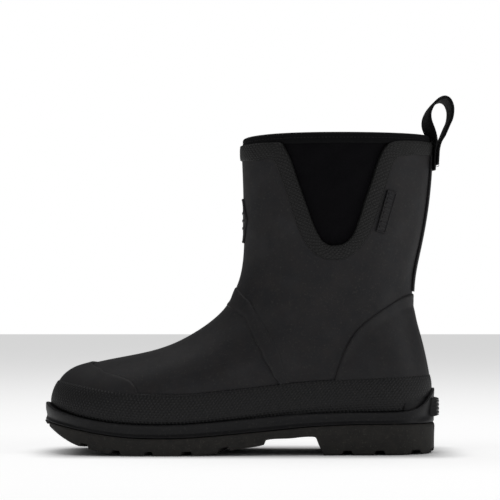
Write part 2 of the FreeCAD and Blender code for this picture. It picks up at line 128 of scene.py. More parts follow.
# Lines round the boot in the side view (x, z), from toe to heel: in turn the top of the outsole, the top
# of the midsole, the top of the foxing, and the line to which the upper is lasted.
GROOVE_LINE = [
    (-172.0, 28.0), (-158.0, 24.2), (-130.0, 18.6), (-108.0, 15.2), (-86.0, 13.5), (-52.0, 13.6),
    (-20.0, 15.8), (15.0, 18.9), (52.0, 22.2), (90.0, 23.6), (160.0, 23.6),
]
MIDSOLE_TOP = [
    (-172.0, 46.0), (-160.0, 38.4), (-150.0, 33.6), (-124.0, 27.4), (-92.0, 24.0), (-56.0, 23.9),
    (-18.0, 26.6), (30.0, 31.0), (75.0, 32.9), (112.0, 33.2), (127.0, 34.6), (136.0, 38.6),
    (143.0, 45.6), (152.0, 58.0),
]
FOXING_TOP = [
    (-172.0, 58.4), (-152.0, 57.3), (-138.0, 55.4), (-106.0, 50.6), (-84.0, 48.6), (-52.0, 48.0),
    (-18.0, 50.8), (36.0, 56.6), (98.0, 60.7), (160.0, 63.4),
]
FEATHER_LINE = [
    (-172.0, 36.6), (-150.0, 30.8), (-124.0, 25.4), (-92.0, 22.5), (-56.0, 22.4), (-18.0, 25.0),
    (30.0, 29.3), (75.0, 31.3), (112.0, 31.7), (160.0, 31.7),
]
# Edge of the rubber round the side opening, in the side view, front to rear.
SIDE_OPENING = [
    (24.4, 244.0), (30.7, 232.0), (35.2, 219.0), (40.9, 203.0), (48.0, 183.5), (55.4, 168.0),
    (65.0, 163.2), (76.5, 167.0), (85.2, 184.5), (90.4, 199.0), (95.2, 213.5), (99.2, 226.0),
    (104.0, 238.0), (110.0, 245.0),
]


def curve(points: list, value: np.ndarray) -> np.ndarray:
    """Read a smooth curve through given points.

    Args:
        points: Rows of a position and one or more values.
        value: Positions to read.

    Returns:
        The values, with a last axis when a row holds more than one.
    """
    table = np.asarray(points, float)
    at, values = table[:, 0], table[:, 1:]
    value = np.clip(np.asarray(value, float), at[0], at[-1])
    i = np.clip(np.searchsorted(at, value, side="right") - 1, 0, len(at) - 2)
    before, after = np.maximum(i - 1, 0), np.minimum(i + 2, len(at) - 1)
    span = at[i + 1] - at[i]
    t = ((value - at[i]) / span)[..., None]
    start = (values[i + 1] - values[before]) * (span / (at[i + 1] - at[before]))[..., None]
    end = (values[after] - values[i]) * (span / (at[after] - at[i]))[..., None]
    smooth = t * t * (3.0 - 2.0 * t)
    result = values[i] + (values[i + 1] - values[i]) * smooth
    result = result + start * t * (1.0 - t) ** 2 - end * t * t * (1.0 - t)
    return result[..., 0] if values.shape[1] == 1 else result


def ease(low: float, high: float, value: np.ndarray) -> np.ndarray:
    """Step smoothly from 0 to 1.

    Args:
        low: Value below which the result is 0.
        high: Value above which the result is 1.
        value: Values to read.

    Returns:
        Shares from 0 to 1.
    """
    t = np.clip((np.asarray(value, float) - low) / (high - low), 0.0, 1.0)
    return t * t * (3.0 - 2.0 * t)


def rounding(gap: np.ndarray, radius: np.ndarray) -> np.ndarray:
    """Return how wide a rounded edge is, as a share of its full width, at a distance from the edge."""
    share = np.clip(gap / radius, 0.0, 1.0)
    return np.sqrt(1.0 - (1.0 - share) ** 2)


def to_line(x: np.ndarray, z: np.ndarray, line: np.ndarray) -> tuple[np.ndarray, np.ndarray]:
    """Measure side-view points against a polyline.

    Args:
        x: Positions along the boot.
        z: Heights.
        line: Points of the polyline.

    Returns:
        The distance to the polyline and the height of its nearest point.
    """
    point = np.stack([x, z], -1)[..., None, :]
    first, step = line[:-1], line[1:] - line[:-1]
    along = ((point - first) * step).sum(-1) / (step * step).sum(-1)
    near = first + np.clip(along, 0.0, 1.0)[..., None] * step
    gap = np.linalg.norm(point - near, axis=-1)
    best = gap.argmin(-1)
    take = np.take_along_axis
    height = take(near[..., 1], best[..., None], -1)[..., 0]
    return take(gap, best[..., None], -1)[..., 0], height


@dataclass
class Skin:
    """Outer face of the rubber, a smooth surface that every layer of the boot follows.

    A place on it is a row, from 0 under the sole to 21 above the collar, and a turn, from 0 at the
    heel over 20 at the toe on the lateral side and back to 40 on the medial side.
    """

    around: int = 40
    rows_per_point: int = 2
    last_row: float = 21.0
    search_step: float = 0.06
    poles: np.ndarray = field(init=False)
    normals: np.ndarray = field(init=False)
    knots: np.ndarray = field(init=False)
    greville: np.ndarray = field(init=False)

    def __post_init__(self) -> None:
        """Work out the control points and their outward normals."""
        last = len(FRONT_PROFILE) - 1
        table = [(float(i), *point) for i, point in enumerate(FRONT_PROFILE)]
        rows = np.arange(last * self.rows_per_point + 1) / self.rows_per_point
        front = curve(table, rows)
        turn = np.arange(self.around)
        share = ((1.0 - np.cos(2.0 * np.pi * turn / self.around)) / 2.0)[None, :]
        back_z = front[:, 2:3]
        back_x = curve(BACK_PROFILE, back_z)
        x = back_x + (front[:, 0:1] - back_x) * share
        z = back_z + (front[:, 1:2] - back_z) * share
        lateral = np.broadcast_to(turn <= self.around // 2, x.shape)
        y = self._sideways(x, z, lateral, table)
        self.poles = np.stack([x, y, z], -1)
        ahead = np.roll(self.poles, -1, 1) - np.roll(self.poles, 1, 1)
        upward = np.concatenate([self.poles[1:], self.poles[-1:]])
        upward = upward - np.concatenate([self.poles[:1], self.poles[:-1]])
        normal = np.cross(upward, ahead)
        normal[[0, -1], :, 2] = 0.0
        self.normals = normal / np.linalg.norm(normal, axis=-1, keepdims=True)
        spans = len(rows) - 3
        self.knots = np.concatenate([[0.0] * 3, np.arange(spans + 1.0), [float(spans)] * 3])
        self.greville = np.convolve(self.knots[1:-1], np.ones(3) / 3.0, "valid")

    def _sideways(self, x: np.ndarray, z: np.ndarray, lateral: np.ndarray, table: list) -> np.ndarray:
        """Work out how far sideways the control points lie.

        Args:
            x: Their positions along the boot.
            z: Their heights.
            lateral: Which of them lie on the lateral side.
            table: Front profile, each point after its row number.

        Returns:
            Their y in mm.
        """
        plan = curve(FOOT_PLAN, x)
        blend = ease(*FOOT_TO_SHAFT, z)
        side = np.where(lateral, plan[..., 0], plan[..., 1])
        width = side + (curve(SHAFT_WIDTH, z) - side) * blend
        face = [(point[1], point[0]) for point in FRONT_PROFILE[: TOE_CORNER + 1]]
        toe = rounding(x - curve(face, np.minimum(z, face[-1][0])), TOE_ROUND)
        steps = np.arange(2 * (len(FRONT_PROFILE) - 1 - TOE_CORNER) + 1) / 2.0 + TOE_CORNER
        ridge = np.concatenate([[RIDGE_START], curve(table, steps)[:, :2]])
        gap, height = to_line(x, z, ridge)
        front = rounding(gap, curve(FRONT_ROUND, height))
        levels = np.arange(0.0, 264.0, 6.0)
        gap, height = to_line(x, z, np.stack([curve(BACK_PROFILE, levels), levels], -1))
        back = rounding(gap, curve(BACK_ROUND, height))
        width = width * toe * front * back
        width[:, [0, self.around // 2]] = 0.0
        return plan[..., 2] * (1.0 - blend) + np.where(lateral, -width, width)

    def _row_weights(self, row: np.ndarray) -> tuple[np.ndarray, list]:
        """Work out which control rows shape a place, and how much.

        Args:
            row: Row positions.

        Returns:
            The first control row of each, and the weights of it and the three after it.
        """
        index = np.asarray(row, float) * self.rows_per_point
        value = np.interp(index, np.arange(len(self.greville)), self.greville)
        last = len(self.poles) - 4
        span = np.clip(np.floor(value).astype(int), 0, last)
        knots, place = self.knots, span + 3
        weights = [np.ones_like(value)]
        for degree in (1, 2, 3):
            following = [np.zeros_like(value) for _ in range(degree + 1)]
            for i, weight in enumerate(weights):
                right = knots[place + i + 1]
                left = knots[place + i + 1 - degree]
                share = weight / (right - left)
                following[i] += (right - value) * share
                following[i + 1] += (value - left) * share
            weights = following
        return span, weights

    def at(self, row: np.ndarray, turn: np.ndarray, depth: np.ndarray = 0.0) -> np.ndarray:
        """Return points of a layer.

        Args:
            row: Row positions.
            turn: Turn positions.
            depth: Distance out from the rubber's outer face, in mm.

        Returns:
            Points in mm.
        """
        row, turn, depth = np.broadcast_arrays(row, turn, depth)
        span, row_weights = self._row_weights(row)
        cell = np.floor(turn).astype(int)
        t = turn - cell
        turn_weights = [
            (1.0 - t) ** 3 / 6.0,
            (3.0 * t**3 - 6.0 * t**2 + 4.0) / 6.0,
            (-3.0 * t**3 + 3.0 * t**2 + 3.0 * t + 1.0) / 6.0,
            t**3 / 6.0,
        ]
        total = np.zeros(row.shape + (3,))
        for i, row_weight in enumerate(row_weights):
            for j, turn_weight in enumerate(turn_weights):
                column = (cell + j - 1) % self.around
                pole = self.poles[span + i, column] + self.normals[span + i, column] * depth[..., None]
                total += (row_weight * turn_weight)[..., None] * pole
        return total

    def frame_at(self, row: np.ndarray, turn: np.ndarray) -> tuple[np.ndarray, np.ndarray, np.ndarray]:
        """Measure the directions of the surface.

        Args:
            row: Row positions.
            turn: Turn positions.

        Returns:
            How a point moves per unit of turn and per unit of row, and the outward normal.
        """
        step = 0.02
        per_turn = (self.at(row, turn + step) - self.at(row, turn - step)) / (2.0 * step)
        per_row = (self.at(row + step, turn) - self.at(row - step, turn)) / (2.0 * step)
        normal = np.cross(per_row, per_turn)
        return per_turn, per_row, normal / np.linalg.norm(normal, axis=-1, keepdims=True)

    def ring(self, line: list, turns: np.ndarray, depth: float = 0.0, lift: float = 0.0) -> np.ndarray:
        """Find the row at which each turn reaches a side-view line.

        Args:
            line: Points (x, z) from toe to heel.
            turns: Turn positions.
            depth: Layer on which the line lies.
            lift: Height added to the line.

        Returns:
            One row position for each turn.
        """
        rows = np.arange(0.0, self.last_row, self.search_step)
        points = self.at(rows[:, None], turns[None, :], depth)
        above = points[..., 2] - curve(line, points[..., 0]) - lift
        return self._crossing(rows, above)

    def _crossing(self, rows: np.ndarray, above: np.ndarray) -> np.ndarray:
        """Find where columns of values change sign.

        Args:
            rows: Row positions, one for each line of values.
            above: Values, shape (rows, columns).

        Returns:
            The row position at which each column first turns positive.
        """
        i = np.clip((above > 0.0).argmax(0), 1, len(rows) - 1)
        column = np.arange(above.shape[1])
        low, high = above[i - 1, column], above[i, column]
        return rows[i - 1] + (rows[i] - rows[i - 1]) * np.clip(-low / (high - low), 0.0, 1.0)

    def level(self, height: float, turns: np.ndarray, depth: float = 0.0) -> np.ndarray:
        """Return the row at which each turn reaches one height."""
        return self.ring([(-200.0, height), (200.0, height)], turns, depth)

    def levels(self, heights: np.ndarray, turns: np.ndarray, depth: float = 0.0) -> np.ndarray:
        """Find the rows at which each turn reaches several heights.

        Args:
            heights: Heights in mm.
            turns: Turn positions.
            depth: Layer on which they are found.

        Returns:
            Row positions, shape (turns, heights).
        """
        rows = np.arange(0.0, self.last_row, self.search_step)
        z = self.at(rows[:, None], turns[None, :], depth)[..., 2]
        return np.stack([self._crossing(rows, z - height) for height in heights], 1)

    def spot(self, x: np.ndarray, z: np.ndarray) -> tuple[np.ndarray, np.ndarray]:
        """Find side-view points on the lateral half.

        Args:
            x: Positions along the boot, in mm.
            z: Heights, in mm.

        Returns:
            Row and turn positions.
        """
        x, z = np.asarray(x, float), np.asarray(z, float)
        table = [(float(i), *point) for i, point in enumerate(FRONT_PROFILE)]
        rows = np.arange(0.0, self.last_row + 0.001, 0.1)
        front = curve(table, rows)
        back_x = curve(BACK_PROFILE, front[:, 2])
        run, rise = front[:, 0] - back_x, front[:, 1] - front[:, 2]
        over = (z[:, None] - front[:, 2]) * run - (x[:, None] - back_x) * rise
        row = self._crossing(rows, over.T)
        here = curve(table, row)
        start = curve(BACK_PROFILE, here[:, 2])
        share = np.clip((x - start) / (here[:, 0] - start), 0.0, 1.0)
        return row, np.arccos(1.0 - 2.0 * share) * self.around / (2.0 * np.pi)


# ---------------------------------------------------------------- edges of the bonded pieces, in mm

# Tape round the collar: outer edge and inner edge (x, z) at matching stations, front to rear.
TAPE_STATIONS = [
    (4.7, 230.6, 5.4, 243.9),
    (14.0, 232.2, 15.6, 243.9),
    (17.9, 231.4, 24.4, 243.2),
    (18.7, 229.6, 27.0, 239.4),
    (20.4, 226.2, 30.7, 232.1),
    (24.3, 215.8, 35.0, 219.7),
    (30.0, 199.4, 40.9, 203.1),
    (37.0, 177.5, 48.1, 182.9),
    (42.5, 165.9, 52.0, 174.2),
    (48.2, 158.6, 56.0, 167.4),
    (55.5, 153.8, 60.0, 164.4),
    (63.0, 151.9, 64.1, 163.2),
    (72.5, 152.4, 70.8, 163.9),
    (78.8, 155.2, 74.2, 165.3),
    (84.2, 159.6, 77.0, 167.4),
    (89.2, 165.4, 79.6, 170.4),
    (93.2, 171.6, 81.8, 174.2),
    (97.5, 181.4, 85.5, 184.2),
    (101.8, 194.5, 90.0, 198.7),
    (106.2, 208.4, 95.1, 213.2),
    (109.3, 219.6, 98.5, 224.1),
    (112.2, 227.6, 101.9, 233.2),
    (115.0, 231.6, 105.4, 239.6),
    (118.6, 233.4, 109.6, 243.2),
    (124.0, 234.0, 116.5, 245.2),
]
# Tape levels (outer, inner) at the front centre and at the back centre.
TAPE_FRONT = (231.8, 244.0)
TAPE_BACK = (235.2, 246.2)

# Strip over the seam of vamp and shaft: front edge and rear edge (x, z), from the foot up.
STRIP_STATIONS = [
    (27.5, 46.0, 33.0, 46.0),
    (21.8, 56.3, 27.8, 62.0),
    (16.5, 65.2, 24.2, 73.5),
    (8.6, 78.8, 20.0, 86.0),
    (3.4, 88.4, 11.7, 99.4),
    (-1.0, 97.6, 4.6, 112.2),
    (-7.0, 108.2, -1.8, 121.5),
]
STRIP_FRONT = (116.5, 131.5)

# Rear edge of the toe cap and front edge of the heel overlay (x, z), each from under the foxing up,
# and the height at which each crosses the middle of the boot.
TOE_CAP_EDGE = [(-85.5, 42.0), (-88.2, 52.6), (-94.0, 58.2), (-106.0, 61.9), (-114.5, 64.0), (-119.5, 66.6)]
TOE_CAP_TOP = 71.8
HEEL_EDGE = [
    (62.5, 46.0), (65.6, 60.0), (68.8, 70.0), (73.0, 80.4), (78.5, 90.6), (85.0, 98.8), (94.5, 106.8),
    (105.0, 114.2), (116.0, 120.6), (125.0, 124.6),
]
HEEL_TOP = 126.4
# Soft crease over the front edge of the stiffener inside, as (x, z).
STIFFENER_CREASE = [(74.0, 72.0), (82.9, 82.9), (90.2, 91.3), (103.1, 102.9), (115.8, 111.0), (130.0, 116.0)]

# Underside of the outsole (x, z): toe spring, forefoot, arch and heel block.
SOLE_LINE = [
    (-168.0, 30.0), (-158.0, 21.6), (-150.0, 15.4), (-139.0, 9.0), (-129.0, 5.6), (-120.0, 3.6),
    (-110.0, 1.8), (-100.0, 0.6), (-84.0, 0.0), (-50.0, 0.0), (-30.0, 1.4), (-12.0, 4.6), (11.0, 8.2),
    (12.0, 11.6), (30.0, 13.0), (50.5, 14.0), (53.0, 10.5), (57.0, 0.6), (58.5, 0.0), (142.0, 0.0),
    (147.0, 2.0), (149.0, 8.0),
]
# Notches between the lugs: x where each starts, and its width.
TREAD_NOTCHES = [
    (-131.0, 7.0), (-104.0, 7.0), (-78.0, 7.0), (-50.0, 8.0), (-22.0, 8.0), (72.0, 8.0), (97.0, 8.0),
    (124.0, 7.0),
]
NOTCH_DEPTH = 3.2
# Ends of the line, inside the lasted foot, that the lining and the footbed close on.
SOCK_SPINE = (-105.0, 95.0)

SKIN = Skin()


# ---------------------------------------------------------------- mesh helpers


def finish_mesh(name: str, bm: bmesh.types.BMesh, body: str = BOOT) -> bpy.types.Object:
    """Turn a bmesh into a smooth-shaded piece, attached to its body when that body is the boot.

    Args:
        name: Name of the piece.
        bm: Its mesh, in metres, which is freed.
        body: CAD body; the piece is attached to it only when it is the boot.

    Returns:
        The new object.
    """
    mesh = bpy.data.meshes.new(name)
    bm.to_mesh(mesh)
    bm.free()
    mesh.shade_smooth()
    piece = bpy.data.objects.new(name, mesh)
    bpy.context.scene.collection.objects.link(piece)
    if body == BOOT:
        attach(piece, body)
    return piece


def sheet_mesh(
    name: str,
    points: np.ndarray,
    uv: np.ndarray | None = None,
    keep: np.ndarray | None = None,
    outside: np.ndarray | None = None,
    wall: float = 0.0,
    body: str = BOOT,
) -> bpy.types.Object:
    """Make a piece from a bmesh grid that is laid over points.

    Args:
        name: Name of the piece.
        points: Places in mm, shape (stations, places across, 3).
        uv: Place on the flat material in mm for each point, shape (stations, places across, 2).
        keep: Which cells stay, shape (stations - 1, places across - 1).
        outside: Direction that faces outward at each point; without it the winding stays.
        wall: Thickness added inwards, in mm.
        body: CAD body, passed on; the piece is attached to it only when it is the boot.

    Returns:
        The new object.
    """
    along, across = points.shape[:2]
    bm = bmesh.new()
    bmesh.ops.create_grid(bm, x_segments=across - 1, y_segments=along - 1, size=0.5)
    draft = bpy.data.meshes.new("draft")
    bm.to_mesh(draft)
    draft.vertices.foreach_set("co", (points * MM).ravel())
    corners = np.empty(len(draft.loops), np.int32)
    draft.loops.foreach_get("vertex_index", corners)
    if uv is not None:
        layer = draft.uv_layers.new(name="UVMap")
        layer.data.foreach_set("uv", (uv * MM).reshape(-1, 2)[corners].ravel())
    bm.clear()
    bm.from_mesh(draft)
    bpy.data.meshes.remove(draft)
    if keep is not None:
        bm.faces.ensure_lookup_table()
        dropped = [face for face, stays in zip(bm.faces, keep.ravel()) if not stays]
        bmesh.ops.delete(bm, geom=dropped, context="FACES")
    bmesh.ops.remove_doubles(bm, verts=bm.verts, dist=1e-6)
    if outside is not None:
        across_step = np.gradient(points, axis=1)
        along_step = np.gradient(points, axis=0)
        facing = (np.cross(across_step, along_step) * outside).sum()
        if facing < 0.0:
            bmesh.ops.reverse_faces(bm, faces=bm.faces)
    piece = finish_mesh(name, bm, body)
    if wall:
        solid = piece.modifiers.new("wall", "SOLIDIFY")
        solid.thickness = wall * MM
        solid.offset = -1.0
    return piece


def arc_lengths(points: np.ndarray) -> np.ndarray:
    """Return how far along a chain of points each one lies."""
    steps = np.linalg.norm(np.diff(points, axis=0), axis=-1)
    return np.concatenate([[0.0], np.cumsum(steps)])


def surface_uv(points: np.ndarray, anchor: float = 0.5) -> np.ndarray:
    """Lay a grid of points out flat.

    Args:
        points: Places in mm, shape (stations, places across, 3).
        anchor: Share of the width from which places across are measured.

    Returns:
        Distance along and across in mm for each point.
    """
    along = np.linalg.norm(np.diff(points, axis=0), axis=-1).mean(1)
    along = np.concatenate([[0.0], np.cumsum(along)])
    across = np.linalg.norm(np.diff(points, axis=1), axis=-1)
    across = np.concatenate([np.zeros((len(points), 1)), np.cumsum(across, axis=1)], axis=1)
    middle = across[:, -1:] * anchor
    return np.stack([np.broadcast_to(along[:, None], across.shape), across - middle], -1)


def lay(
    name: str, row: np.ndarray, turn: np.ndarray, height: np.ndarray, wall: float, anchor: float = 0.5
) -> bpy.types.Object:
    """Lay a sheet over the boot.

    Args:
        name: Name of the piece.
        row: Row position of each point, shape (stations, places across).
        turn: Turn position of each point.
        height: Height of each point over the outer face of the rubber, in mm.
        wall: Thickness of the sheet inwards, in mm.
        anchor: Share of the width from which its pattern is measured.

    Returns:
        The new piece.
    """
    points = SKIN.at(row, turn, height)
    outside = SKIN.frame_at(row, turn)[2]
    return sheet_mesh(name, points, uv=surface_uv(points, anchor), outside=outside, wall=wall)


def climb(
    low: np.ndarray, high: np.ndarray, share: np.ndarray, turns: np.ndarray
) -> tuple[np.ndarray, np.ndarray]:
    """Make a grid that climbs from one row to another at each turn.

    Args:
        low: Row at which each turn starts.
        high: Row at which it ends.
        share: Shares of the way up.
        turns: Turn positions.

    Returns:
        Rows and turns, shape (turns, shares).
    """
    row = low[:, None] + (high - low)[:, None] * share[None, :]
    return row, np.broadcast_to(turns[:, None], row.shape)


def cross(path: np.ndarray, share: np.ndarray) -> tuple[np.ndarray, np.ndarray]:
    """Make a grid that crosses a strip at each of its stations.

    Args:
        path: Stations (turn, row, turn, row) of its two edges.
        share: Shares of the way across.

    Returns:
        Rows and turns, shape (stations, shares).
    """
    turn = path[:, None, 0] * (1.0 - share) + path[:, None, 2] * share
    row = path[:, None, 1] * (1.0 - share) + path[:, None, 3] * share
    return row, turn


def strand(
    name: str, path: np.ndarray, radius: float, length: float, normals: np.ndarray
) -> bpy.types.Object:
    """Lay one short stitch at each place of a path.

    Args:
        name: Name of the piece.
        path: Places and directions in mm, shape (stitches, 2, 3).
        radius: Half the thread's width, in mm.
        length: Length of one stitch, in mm.
        normals: Direction that faces out of the cloth at each stitch.

    Returns:
        One object that holds every stitch.
    """
    bm = bmesh.new()
    for (place, direction), normal in zip(path, normals):
        made = bmesh.ops.create_uvsphere(bm, u_segments=7, v_segments=6, radius=1.0)["verts"]
        along = Vector(direction).normalized()
        out = Vector(normal).normalized()
        side = along.cross(out)
        for vert in made:
            x, y, z = vert.co
            stretch = math.copysign(min(abs(z) ** 0.7, 1.0), z) * length / 2.0
            offset = along * stretch + side * (x * radius) + out * (y * radius)
            vert.co = (Vector(place) + offset) * MM
    bmesh.ops.recalc_face_normals(bm, faces=bm.faces)
    return finish_mesh(name, bm)


def rim_profile(
    width: float, thickness: float, radius: float, sunk: float, step: float
) -> tuple[list, list]:
    """Return the cross-section of a flat strip with rounded edges.

    Args:
        width: Width of the strip, in mm.
        thickness: Height of its face, in mm.
        radius: Radius of its edges, in mm.
        sunk: How far its edges reach below the surface it lies on, in mm.
        step: Spacing of the places on its face, in mm.

    Returns:
        Places across from 0 to the width, and the height at each.
    """
    turns = np.linspace(0.0, math.pi / 2.0, 5)
    edge = [(0.0, -sunk)]
    edge += [(radius * (1 - math.cos(a)), thickness - radius * (1 - math.sin(a))) for a in turns]
    count = max(2, round((width - 2.0 * radius) / step))
    face = [(radius + (width - 2.0 * radius) * i / count, thickness) for i in range(1, count)]
    rows = edge + face + [(width - x, h) for x, h in reversed(edge)]
    return [row[0] for row in rows], [row[1] for row in rows]


# ---------------------------------------------------------------- finishes


def linear(colour: str) -> tuple[float, float, float, float]:
    """Turn an sRGB hex colour into linear values.

    Args:
        colour: Six hex digits.

    Returns:
        Red, green, blue and alpha.
    """
    parts = [int(colour[i : i + 2], 16) / 255.0 for i in (0, 2, 4)]
    red, green, blue = (c / 12.92 if c <= 0.04045 else ((c + 0.055) / 1.055) ** 2.4 for c in parts)
    return red, green, blue, 1.0


def add(
    tree: bpy.types.NodeTree, kind: str, inputs: dict | None = None, **settings: object
) -> bpy.types.Node:
    """Add a shader node.

    Args:
        tree: Node tree that gets it.
        kind: Blender's name for the node.
        inputs: Value or output socket for each input, by name or number.
        **settings: Properties of the node.

    Returns:
        The new node.
    """
    made = tree.nodes.new(kind)
    for key, value in settings.items():
        setattr(made, key, value)
    for key, value in (inputs or {}).items():
        if isinstance(value, bpy.types.NodeSocket):
            tree.links.new(value, made.inputs[key])
        else:
            made.inputs[key].default_value = value
    return made


class Pattern(Enum):
    """How the surface is formed beyond its fine grain."""

    PLAIN = "plain"
    RIBBED = "ribbed"
    WOVEN = "woven"
    DIAMOND = "diamond"


@dataclass(frozen=True)
class Finish:
    """A material with clouded colour, fine grain and an optional pattern that follows the surface, with
    painted shade in the pattern's hollows.
    """

    name: str
    colour: str
    cloud: str
    roughness: float
    cloud_mm: float = 16.0
    cloud_share: float = 0.5
    cloud_range: tuple[float, float] = (0.35, 0.7)
    rough_spread: float = 0.08
    grain_mm: float = 0.7
    grain_height: float = 0.04
    bloom: str = ""
    bloom_share: float = 0.0
    bloom_range: tuple[float, float] = (0.52, 0.72)
    speck: str = ""
    speck_mm: float = 2.0
    speck_range: tuple[float, float] = (0.58, 0.72)
    pattern: Pattern = Pattern.PLAIN
    pitch_mm: tuple[float, float] = (2.0, 2.0)
    pattern_turn: float = 0.0
    pattern_height: float = 0.25
    # Share by which the pattern's hollows are darkened: painted shade in the recesses.
    hollow_painted_shade: float = 0.25
    ior: float = 1.5
    specular: float = 0.25
    sheen: float = 0.0

    def build(self) -> bpy.types.Material:
        """Build the material.

        Returns:
            The new material.
        """
        material = bpy.data.materials.new(self.name)
        material.use_nodes = True
        tree = material.node_tree
        tree.nodes.clear()
        coords = add(tree, "ShaderNodeTexCoord")
        place = coords.outputs["Object"]
        colour = self._clouds(tree, place)
        height = self._noise(tree, place, self.grain_mm, 3.0)
        normal = self._bump(tree, height, self.grain_height, None)
        if self.pattern is not Pattern.PLAIN:
            weave = self._weave(tree, coords.outputs["UV"])
            normal = self._bump(tree, weave, self.pattern_height, normal)
            # The pattern's low parts take a darker colour: painted shade in its hollows.
            dark = tuple(c * (1.0 - self.hollow_painted_shade) for c in linear(self.colour)[:3]) + (1.0,)
            colour = self._mix(tree, weave, dark, colour)
        gloss = self._noise(tree, place, self.cloud_mm * 0.4, 4.0)
        span = (self.roughness - self.rough_spread, self.roughness + self.rough_spread)
        shader = add(
            tree,
            "ShaderNodeBsdfPrincipled",
            {
                "Base Color": colour,
                "Roughness": self._stretch(tree, gloss, (0.0, 1.0), span),
                "IOR": self.ior,
                "Specular IOR Level": self.specular,
                "Sheen Weight": self.sheen,
                "Normal": normal,
            },
        )
        output = add(tree, "ShaderNodeOutputMaterial", {"Surface": shader.outputs["BSDF"]})
        output.is_active_output = True
        return material

    def _noise(
        self, tree: bpy.types.NodeTree, place: bpy.types.NodeSocket, size_mm: float, detail: float
    ) -> bpy.types.NodeSocket:
        """Return noise whose blotches are about one size."""
        inputs = {"Vector": place, "Scale": 1.0 / (size_mm * MM), "Detail": detail, "Roughness": 0.6}
        return add(tree, "ShaderNodeTexNoise", inputs).outputs["Fac"]

    def _stretch(
        self, tree: bpy.types.NodeTree, value: bpy.types.NodeSocket, source: tuple, target: tuple
    ) -> bpy.types.NodeSocket:
        """Return a value moved from one range to another."""
        inputs = dict(zip(("From Min", "From Max", "To Min", "To Max"), (*source, *target)))
        return add(tree, "ShaderNodeMapRange", {"Value": value, **inputs}).outputs["Result"]

    def _mix(
        self, tree: bpy.types.NodeTree, share: object, first: object, second: object
    ) -> bpy.types.NodeSocket:
        """Return a mix of two colours."""
        inputs = {0: share, 6: first, 7: second}
        return add(tree, "ShaderNodeMix", inputs, data_type="RGBA").outputs[2]

    def _bump(
        self, tree: bpy.types.NodeTree, height: bpy.types.NodeSocket, depth_mm: float, under: object
    ) -> bpy.types.NodeSocket:
        """Bend the normal by a height pattern.

        Args:
            tree: Node tree of the material.
            height: Height pattern from 0 to 1.
            depth_mm: Depth of the pattern, in mm.
            under: Normal that is bent further, or None.

        Returns:
            The new normal.
        """
        inputs = {"Height": height, "Distance": depth_mm * MM, "Strength": 1.0}
        if under is not None:
            inputs["Normal"] = under
        return add(tree, "ShaderNodeBump", inputs).outputs["Normal"]

    def _clouds(self, tree: bpy.types.NodeTree, place: bpy.types.NodeSocket) -> bpy.types.NodeSocket:
        """Colour the surface with its clouds, bloom and specks.

        Args:
            tree: Node tree of the material.
            place: Coordinates that it reads.

        Returns:
            The colour.
        """
        noise = self._noise(tree, place, self.cloud_mm, 5.0)
        share = self._stretch(tree, noise, self.cloud_range, (0.0, self.cloud_share))
        colour = self._mix(tree, share, linear(self.colour), linear(self.cloud))
        if self.bloom:
            noise = self._noise(tree, place, self.cloud_mm * 2.7, 7.0)
            share = self._stretch(tree, noise, self.bloom_range, (0.0, self.bloom_share))
            colour = self._mix(tree, share, colour, linear(self.bloom))
        if self.speck:
            noise = self._noise(tree, place, self.speck_mm, 2.0)
            share = self._stretch(tree, noise, self.speck_range, (0.0, 1.0))
            colour = self._mix(tree, share, colour, linear(self.speck))
        return colour

    def _wave(
        self, tree: bpy.types.NodeTree, place: bpy.types.NodeSocket, pitch_mm: float, direction: str
    ) -> bpy.types.NodeSocket:
        """Raise ridges on the flat material.

        Args:
            tree: Node tree of the material.
            place: Coordinates on the flat material.
            pitch_mm: Distance from ridge to ridge, in mm.
            direction: Axis that the ridges cross.

        Returns:
            Their height from 0 to 1.
        """
        scale = 2.0 * math.pi / (20.0 * pitch_mm * MM)
        inputs = {"Vector": place, "Scale": scale, "Distortion": 0.0}
        made = add(tree, "ShaderNodeTexWave", inputs, bands_direction=direction, wave_profile="SIN")
        return made.outputs["Fac"]

    def _weave(self, tree: bpy.types.NodeTree, uv: bpy.types.NodeSocket) -> bpy.types.NodeSocket:
        """Cross two sets of ridges into the pattern.

        Args:
            tree: Node tree of the material.
            uv: Coordinates on the flat material.

        Returns:
            Height of the pattern from 0 to 1.
        """
        turned = add(tree, "ShaderNodeMapping", {"Vector": uv, "Rotation": (0.0, 0.0, self.pattern_turn)})
        along = self._wave(tree, turned.outputs["Vector"], self.pitch_mm[0], "X")
        if self.pattern is Pattern.RIBBED:
            return along
        back = -self.pattern_turn if self.pattern is Pattern.DIAMOND else self.pattern_turn
        other = add(tree, "ShaderNodeMapping", {"Vector": uv, "Rotation": (0.0, 0.0, back)})
        direction = "X" if self.pattern is Pattern.DIAMOND else "Y"
        across = self._wave(tree, other.outputs["Vector"], self.pitch_mm[1], direction)
        return add(tree, "ShaderNodeMath", {0: along, 1: across}, operation="MULTIPLY").outputs["Value"]


